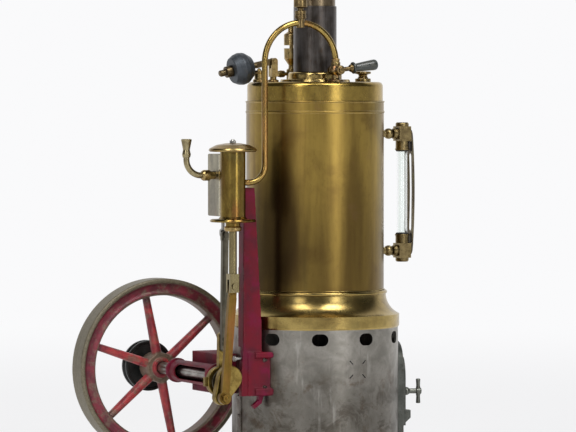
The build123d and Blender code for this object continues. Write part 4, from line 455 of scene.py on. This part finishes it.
def make_materials():
    """Every material, by the name the pieces ask for."""
    return {
        "boiler": boiler_brass(),
        "cap": brass("cap_brass", (0.45, 0.315, 0.080), (0.27, 0.180, 0.045), rough=0.24, tarnish=0.35,
                     streak=(1, 1, 0.4), brushed=(0.02, 0.02, 1), seed=51, blotch=14),
        "skirt": brass("skirt_brass", (0.44, 0.325, 0.112), (0.25, 0.175, 0.058), rough=0.24, tarnish=0.45,
                       streak=(0.5, 0.5, 1), brushed=(0.02, 0.02, 1), seed=61, blotch=12),
        "ring": brass("ring_brass", (0.70, 0.52, 0.20), DARK_GOLD, rough=0.2, tarnish=0.4, seed=66, blotch=5),
        "fitting": brass("fitting_brass", (0.50, 0.37, 0.15), (0.24, 0.17, 0.075), rough=0.28, tarnish=0.6,
                         seed=71, blotch=3.2, copper=0.15),
        "lever": brass("lever_brass", (0.155, 0.115, 0.060), (0.075, 0.053, 0.030), rough=0.34, tarnish=0.5,
                       seed=127, blotch=3),
        "cup": brass("cup_bronze", (0.30, 0.215, 0.095), (0.13, 0.088, 0.042), rough=0.3, tarnish=0.6,
                     seed=129, blotch=3),
        "plug": brass("plug_brass", (0.36, 0.27, 0.115), (0.16, 0.11, 0.05), rough=0.3, tarnish=0.6,
                      seed=130, blotch=2.5),
        "valve": brass("valve_brass", (0.34, 0.25, 0.12), (0.13, 0.085, 0.045), rough=0.3, tarnish=0.7,
                       seed=74, blotch=2.5, copper=0.25),
        "gauge": brass("gauge_brass", (0.34, 0.26, 0.12), (0.17, 0.125, 0.057), rough=0.34, tarnish=0.45,
                       seed=78, blotch=4),
        "guard": brass("guard_brass", (0.20, 0.165, 0.105), (0.078, 0.062, 0.043), rough=0.34, tarnish=0.6,
                       streak=(1, 1, 0.3), seed=83, blotch=5),
        "pipe": brass("pipe_brass", (0.42, 0.300, 0.088), (0.23, 0.155, 0.048), rough=0.24, tarnish=0.45,
                      streak=(1, 1, 0.25), seed=88, blotch=9, copper=0.3, edge=0),
        "exhaust": brass("exhaust_brass", (0.40, 0.34, 0.19), (0.22, 0.18, 0.10), rough=0.33, tarnish=0.35,
                         seed=92, blotch=5, edge=0.2),
        "rod": brass("rod_brass", (0.25, 0.155, 0.036), (0.145, 0.084, 0.018), rough=0.3, tarnish=0.35,
                     streak=(1, 1, 0.15), brushed=(1, 1, 0.03), seed=96, blotch=6, copper=0.3),
        "web": brass("web_brass", (0.36, 0.260, 0.075), (0.20, 0.135, 0.036), rough=0.32, tarnish=0.5,
                     seed=101, blotch=4),
        "barrel": brass("barrel_brass", (0.30, 0.210, 0.052), (0.150, 0.092, 0.022), rough=0.2, tarnish=0.5,
                        streak=(1, 1, 0.3), brushed=(0.03, 0.03, 1), seed=105, blotch=6, copper=0.3),
        "head": brass("head_brass", (0.37, 0.275, 0.105), (0.20, 0.140, 0.052), rough=0.26, tarnish=0.5,
                      streak=(0.5, 0.5, 1), seed=110, blotch=5, copper=0.08),
        "chest": brass("chest_brass", (0.36, 0.33, 0.24), (0.20, 0.18, 0.14), rough=0.34, tarnish=0.3,
                       streak=(1, 1, 0.3), brushed=(1, 1, 0.04), seed=114, blotch=8, copper=0.12),
        "plate": brass("plate_brass", (0.74, 0.68, 0.50), (0.52, 0.46, 0.32), rough=0.25, tarnish=0.15,
                       seed=118, blotch=5),
        "piston_rod": brass("piston_rod_brass", (0.33, 0.275, 0.140), (0.19, 0.150, 0.075), rough=0.24,
                            tarnish=0.3, streak=(1, 1, 0.2), seed=122, blotch=5),
        "firebox": sheet_steel(),
        "sleeve": steel("sleeve_steel", (0.115, 0.105, 0.10), (0.055, 0.046, 0.040), rough=0.36,
                        grain=(1, 1, 0.03), stain=0.5, seed=131),
        "upper": steel("upper_bronze", (0.26, 0.205, 0.13), (0.135, 0.10, 0.062), rough=0.3,
                       grain=(1, 1, 0.03), stain=0.35, seed=135),
        "bright": steel("bright_steel", (0.50, 0.49, 0.46), (0.26, 0.25, 0.235), rough=0.3,
                        grain=(0.05, 1, 1), stain=0.3, seed=139),
        "shaft": steel("shaft_steel", (0.50, 0.49, 0.46), (0.20, 0.195, 0.18), rough=0.3,
                       grain=(1, 0.04, 1), stain=0.35, seed=143),
        "dark": steel("dark_steel", (0.17, 0.155, 0.115), (0.075, 0.068, 0.050), rough=0.36,
                      grain=(1, 1, 0.04), stain=0.5, seed=147),
        "door": steel("door_steel", (0.150, 0.155, 0.140), (0.072, 0.075, 0.067), rough=0.42,
                      stain=0.4, seed=151),
        "latch": steel("latch_steel", (0.20, 0.205, 0.18), (0.095, 0.098, 0.086), rough=0.36,
                       stain=0.4, seed=155),
        "weight": steel("weight_steel", (0.076, 0.088, 0.102), (0.040, 0.046, 0.053), rough=0.44,
                        stain=0.2, seed=159, metal=0.55),
        "pulley": steel("pulley_enamel", (0.030, 0.036, 0.034), (0.012, 0.014, 0.014), rough=0.36,
                        stain=0.1, seed=163, metal=0.15),
        "crimson": enamel("crimson_enamel", (0.150, 0.003, 0.014), (0.090, 0.006, 0.016),
                          (0.165, 0.002, 0.034), worn=(0.33, 0.19, 0.17), seed=171),
        "base": enamel("base_enamel", (0.085, 0.007, 0.014), (0.055, 0.010, 0.015),
                       (0.08, 0.005, 0.020), seed=181),
        "flywheel": flywheel_paint(),
        "horn": horn(),
        "glass": clear_glass(),
        "wick": wick_cotton(),
        "rubber": rubber(),
    }


NODE_MATERIALS = {
    "boiler": ["boiler_shell", "boiler_flue"],
    "cap": ["boiler_cap"],
    "skirt": ["skirt"],
    "ring": ["chimney_base"],
    "fitting": ["pipe_unions", "safety_valve_body", "whistle_body", "whistle_bell", "whistle_push_button",
                "piston_rod_gland", "burner_tank"],
    "cup": ["lubricator_cup", "lubricator_cap", "stop_valve_lever"],
    "plug": ["filler_bush", "filler_plug"],
    "lever": ["safety_valve_lever", "weight_nuts"],
    "valve": ["stop_valve_body"],
    "gauge": ["gauge_fittings"],
    "guard": ["gauge_guard"],
    "pipe": ["steam_pipe"],
    "exhaust": ["exhaust_pipe"],
    "rod": ["connecting_rod", "crank_pin_bolt"],
    "web": ["crank_web", "eccentric_strap", "bearing_bushes"],
    "barrel": ["cylinder"],
    "head": ["cylinder_head"],
    "chest": ["steam_chest", "steam_chest_cover"],
    "plate": ["port_plate"],
    "piston_rod": ["piston_rod"],
    "firebox": ["firebox"],
    "sleeve": ["chimney_sleeve"],
    "upper": ["chimney_upper"],
    "bright": ["bracket_screws", "engine_screws", "grub_screws", "piston", "slide_valve", "valve_spindle",
               "door_hinge_pin"],
    "shaft": ["crankshaft"],
    "dark": ["valve_rod", "eccentric_sheave"],
    "door": ["door_frame", "fire_door"],
    "latch": ["door_latch"],
    "weight": ["safety_valve_weight"],
    "pulley": ["drive_pulley"],
    "crimson": ["column", "bearing_bracket"],
    "base": ["base"],
    "flywheel": ["flywheel"],
    "horn": ["stop_valve_handle"],
    "glass": ["gauge_glass"],
    "wick": ["burner_wicks"],
}


def dress(thing, material):
    """Give an object one material."""
    thing.data.materials.clear()
    thing.data.materials.append(material)


# ---- room and light -----------------------------------------------------------------------

PAPER = (0.955, 0.955, 0.965)
ROOM_EDGES = (0.34, 0.62)
ROOM_STRENGTHS = (0.07, 1.0)


def make_world():
    """A pale room: bright paper behind the object, and a dim studio on the camera's side."""
    world = bpy.data.worlds.new("studio")
    bpy.context.scene.world = world
    world.use_nodes = True
    tree = world.node_tree
    tree.nodes.clear()
    coords = tree.nodes.new("ShaderNodeTexCoord")
    facing = tree.nodes.new("ShaderNodeVectorMath")
    facing.operation = "DOT_PRODUCT"
    facing.inputs[1].default_value = VIEW_WAY
    tree.links.new(coords.outputs["Generated"], facing.inputs[0])
    spread = tree.nodes.new("ShaderNodeMapRange")
    spread.interpolation_type = "SMOOTHSTEP"
    spread.inputs["From Min"].default_value, spread.inputs["From Max"].default_value = ROOM_EDGES
    spread.inputs["To Min"].default_value, spread.inputs["To Max"].default_value = ROOM_STRENGTHS
    tree.links.new(facing.outputs["Value"], spread.inputs["Value"])
    room = tree.nodes.new("ShaderNodeBackground")
    room.inputs["Color"].default_value = (*PAPER, 1)
    tree.links.new(spread.outputs["Result"], room.inputs["Strength"])
    paper = tree.nodes.new("ShaderNodeBackground")
    paper.inputs["Color"].default_value = (*PAPER, 1)
    seen = tree.nodes.new("ShaderNodeLightPath")
    choose = tree.nodes.new("ShaderNodeMixShader")
    tree.links.new(seen.outputs["Is Camera Ray"], choose.inputs["Fac"])
    tree.links.new(room.outputs[0], choose.inputs[1])
    tree.links.new(paper.outputs[0], choose.inputs[2])
    output = tree.nodes.new("ShaderNodeOutputWorld")
    tree.links.new(choose.outputs[0], output.inputs["Surface"])


LIGHT_AIM_HEIGHT = 0.16
SOFTBOXES = (
    ("key_left", -26, 0.78, 1.9, (0.26, 0.85), 5.0),
    ("key_right", 35, 0.62, 1.9, (0.40, 1.1), 5.5),
    ("high_left", -27, 1.75, 1.25, (0.55, 0.9), 14),
    ("high_right", 36, 1.75, 1.25, (0.75, 0.9), 22),
)


def make_softbox(name, turn, height, reach, size, power):
    """An area light. turn is its angle in degrees from the camera's side, positive to the image's right."""
    data = bpy.data.lights.new(name, "AREA")
    data.shape = "RECTANGLE"
    data.size, data.size_y = size
    data.energy = power
    light = bpy.data.objects.new(name, data)
    bpy.context.scene.collection.objects.link(light)
    way = -VIEW_WAY * cos(radians(turn)) + VIEW_RIGHT * sin(radians(turn))
    light.location = way * reach + UP * height
    aim(light, UP * LIGHT_AIM_HEIGHT)


FLOOR_HALF = 12.0
FLOOR_CLEAR = 1.6
FLOOR_GLOW = 0.72
FLOOR_SEGMENTS = 96
FLOOR_FADE_FROM = 90


def make_floor():
    """A pale floor that takes soft shadows near the object and fades into the paper behind it."""
    mesh = bpy.data.meshes.new("floor")
    bm = bmesh.new()
    bmesh.ops.create_circle(bm, cap_ends=True, radius=FLOOR_HALF, segments=FLOOR_SEGMENTS)
    bm.to_mesh(mesh)
    bm.free()
    floor = bpy.data.objects.new("floor", mesh)
    bpy.context.scene.collection.objects.link(floor)
    s = Shader("floor_paper")
    out = s.radius(Vector((0, 0, 0)), (1, 1, 0))
    grain = s.noise(40, detail=3, seed=1.0)
    s.set(colour=s.mix(grain, (0.86, 0.86, 0.87), (0.89, 0.89, 0.90)), rough=0.8)
    glow = s.add("ShaderNodeEmission")
    glow.inputs["Color"].default_value = (*PAPER, 1)
    blend = s.add("ShaderNodeMixShader")
    s.link(s.spread(s.ramp(out, FLOOR_FADE_FROM, FLOOR_CLEAR / MM), FLOOR_GLOW, 1.0), blend.inputs["Fac"])
    s.link(s.surface.outputs[0], blend.inputs[1])
    s.link(glow.outputs[0], blend.inputs[2])
    s.link(blend.outputs[0], s.tree.nodes["Material Output"].inputs["Surface"])
    dress(floor, s.material)


# ---- mesh helpers for the added pieces ----------------------------------------------------

SEAM_MERGE = 0.001 * MM
CAD_WELD = 0.01 * MM
SOFTEN_FACTOR = 0.5


def new_piece(name, bm, material, body):
    """Turn a bmesh into a piece that rides on a body."""
    mesh = bpy.data.meshes.new(name)
    bmesh.ops.remove_doubles(bm, verts=bm.verts, dist=SEAM_MERGE)
    bmesh.ops.recalc_face_normals(bm, faces=bm.faces)
    bm.to_mesh(mesh)
    bm.free()
    for face in mesh.polygons:
        face.use_smooth = True
    piece = bpy.data.objects.new(name, mesh)
    bpy.context.scene.collection.objects.link(piece)
    dress(piece, material)
    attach(piece, body)


def axes_for(way):
    """Two directions square to way and to each other."""
    side = way.orthogonal().normalized()
    return side, way.cross(side)


def lathe(bm, outline, centre, way, steps=48):
    """Add a turned ring. The closed outline is (radius, distance) pairs in millimetres along way."""
    way = Vector(way).normalized()
    side, other = axes_for(way)
    rings = []
    for radius, distance in outline:
        hub = centre + way * distance * MM
        ring = []
        for step in range(steps):
            angle = tau * step / steps
            ring.append(bm.verts.new(hub + (side * cos(angle) + other * sin(angle)) * radius * MM))
        rings.append(ring)
    for low, high in zip(rings, rings[1:]):
        for step in range(steps):
            after = (step + 1) % steps
            bm.faces.new((low[step], low[after], high[after], high[step]))


def tube_along(bm, points, radius, steps=10, closed=False):
    """Add a round tube through points, with rings square to the path."""
    count = len(points)
    rings = []
    normal = None
    for index, point in enumerate(points):
        before = points[(index - 1) % count] if closed or index else point
        after = points[(index + 1) % count] if closed or index < count - 1 else point
        way = (after - before).normalized()
        if normal is None:
            normal = way.orthogonal().normalized()
        normal = (normal - way * normal.dot(way)).normalized()
        other = way.cross(normal)
        rings.append([
            bm.verts.new(point + (normal * cos(tau * k / steps) + other * sin(tau * k / steps)) * radius)
            for k in range(steps)
        ])
    pairs = list(zip(rings, rings[1:]))
    if closed:
        pairs.append((rings[-1], rings[0]))
    for low, high in pairs:
        for k in range(steps):
            after = (k + 1) % steps
            bm.faces.new((low[k], low[after], high[after], high[k]))
    if not closed:
        bm.faces.new(rings[0])
        bm.faces.new(rings[-1])


THREAD_WIRE = 0.32


def thread(bm, start, way, radius, length, pitch, steps=18):
    """Add a fine screw thread along a rod, all in millimetres except start."""
    way = Vector(way).normalized()
    side, other = axes_for(way)
    turns = length / pitch
    count = int(turns * steps)
    points = []
    for index in range(count + 1):
        angle = tau * index / steps
        rise = pitch * index / steps
        points.append(start + way * rise * MM + (side * cos(angle) + other * sin(angle)) * radius * MM)
    tube_along(bm, points, pitch * THREAD_WIRE * MM, steps=6)


def refined(node, name, voxel, smooth, material, body):
    """Stand a finer casting in for a CAD node: remeshed, with its inner corners softened."""
    piece = bpy.data.objects.new(name, nodes[node].data.copy())
    bpy.context.scene.collection.objects.link(piece)
    weld = piece.modifiers.new("weld", "WELD")
    weld.merge_threshold = CAD_WELD
    remesh = piece.modifiers.new("remesh", "REMESH")
    remesh.mode = "VOXEL"
    remesh.voxel_size = voxel * MM
    remesh.use_smooth_shade = True
    soften = piece.modifiers.new("soften", "SMOOTH")
    soften.factor = SOFTEN_FACTOR
    soften.iterations = smooth
    graph = bpy.context.evaluated_depsgraph_get()
    mesh = bpy.data.meshes.new_from_object(piece.evaluated_get(graph))
    piece.modifiers.clear()
    piece.data = mesh
    for face in mesh.polygons:
        face.use_smooth = True
    dress(piece, material)
    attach(piece, body)
    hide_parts(node)


# ---- build --------------------------------------------------------------------------------

bpy.context.scene.view_settings.view_transform = "Standard"
make_camera()
make_world()
for softbox in SOFTBOXES:
    make_softbox(*softbox)
make_floor()
stuff = make_materials()
for key, names in NODE_MATERIALS.items():
    for name in names:
        dress(nodes[name], stuff[key])

# ---- castings with softened corners -------------------------------------------------------

FRAME_BODY = "engine_frame"
refined("flywheel", "flywheel_casting", 0.45, 3, stuff["flywheel"], "crankshaft")
refined("column", "column_casting", 0.40, 3, stuff["crimson"], FRAME_BODY)
refined("bearing_bracket", "bracket_casting", 0.40, 3, stuff["crimson"], FRAME_BODY)

# ---- water gauge: packing rings -----------------------------------------------------------

glass_low, glass_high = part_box("gauge_glass")
glass_axis = (glass_low + glass_high) / 2
PACKING_REACH = 7.6
PACKING_OUTLINE = ((3.05, 0), (3.9, 0), (3.7, 0.7), (3.05, 0.9), (3.05, 0))
packing = bmesh.new()
for end, inward in ((glass_low.z, 1), (glass_high.z, -1)):
    lathe(packing, PACKING_OUTLINE,
          Vector((glass_axis.x, glass_axis.y, end + inward * PACKING_REACH * MM)), UP * inward)
new_piece("gauge_packing", packing, stuff["rubber"], FRAME_BODY)

# ---- safety valve: thread on the stub beyond its weight ------------------------------------

weight_middle = middle("safety_valve_weight")
lever_way = (weight_middle - SAFETY_PIVOT).normalized()
THREAD_START, THREAD_LENGTH, THREAD_PITCH, THREAD_R = 31.2, 3.3, 0.6, 1.75
lever_thread = bmesh.new()
thread(lever_thread, SAFETY_PIVOT + lever_way * THREAD_START * MM, lever_way, THREAD_R, THREAD_LENGTH,
       THREAD_PITCH)
new_piece("lever_thread", lever_thread, stuff["lever"], "safety_valve")

# ---- dull seam along the joint between the boiler and its skirt ---------------------------

skirt_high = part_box("skirt")[1].z
SEAM_R, SEAM_LIFT, SEAM_WIRE, SEAM_STEPS = 40.25, 0.15, 0.35, 180
seam_points = []
for step in range(SEAM_STEPS):
    angle = tau * step / SEAM_STEPS
    sway = 0.18 * sin(7 * angle) + 0.12 * sin(17 * angle + 1.0)
    seam_points.append(Vector((SEAM_R * cos(angle) * MM, SEAM_R * sin(angle) * MM,
                               skirt_high + (SEAM_LIFT + sway) * MM)))
bead = bmesh.new()
tube_along(bead, seam_points, SEAM_WIRE * MM, steps=8, closed=True)
new_piece("skirt_seam", bead, stuff["skirt"], FRAME_BODY)
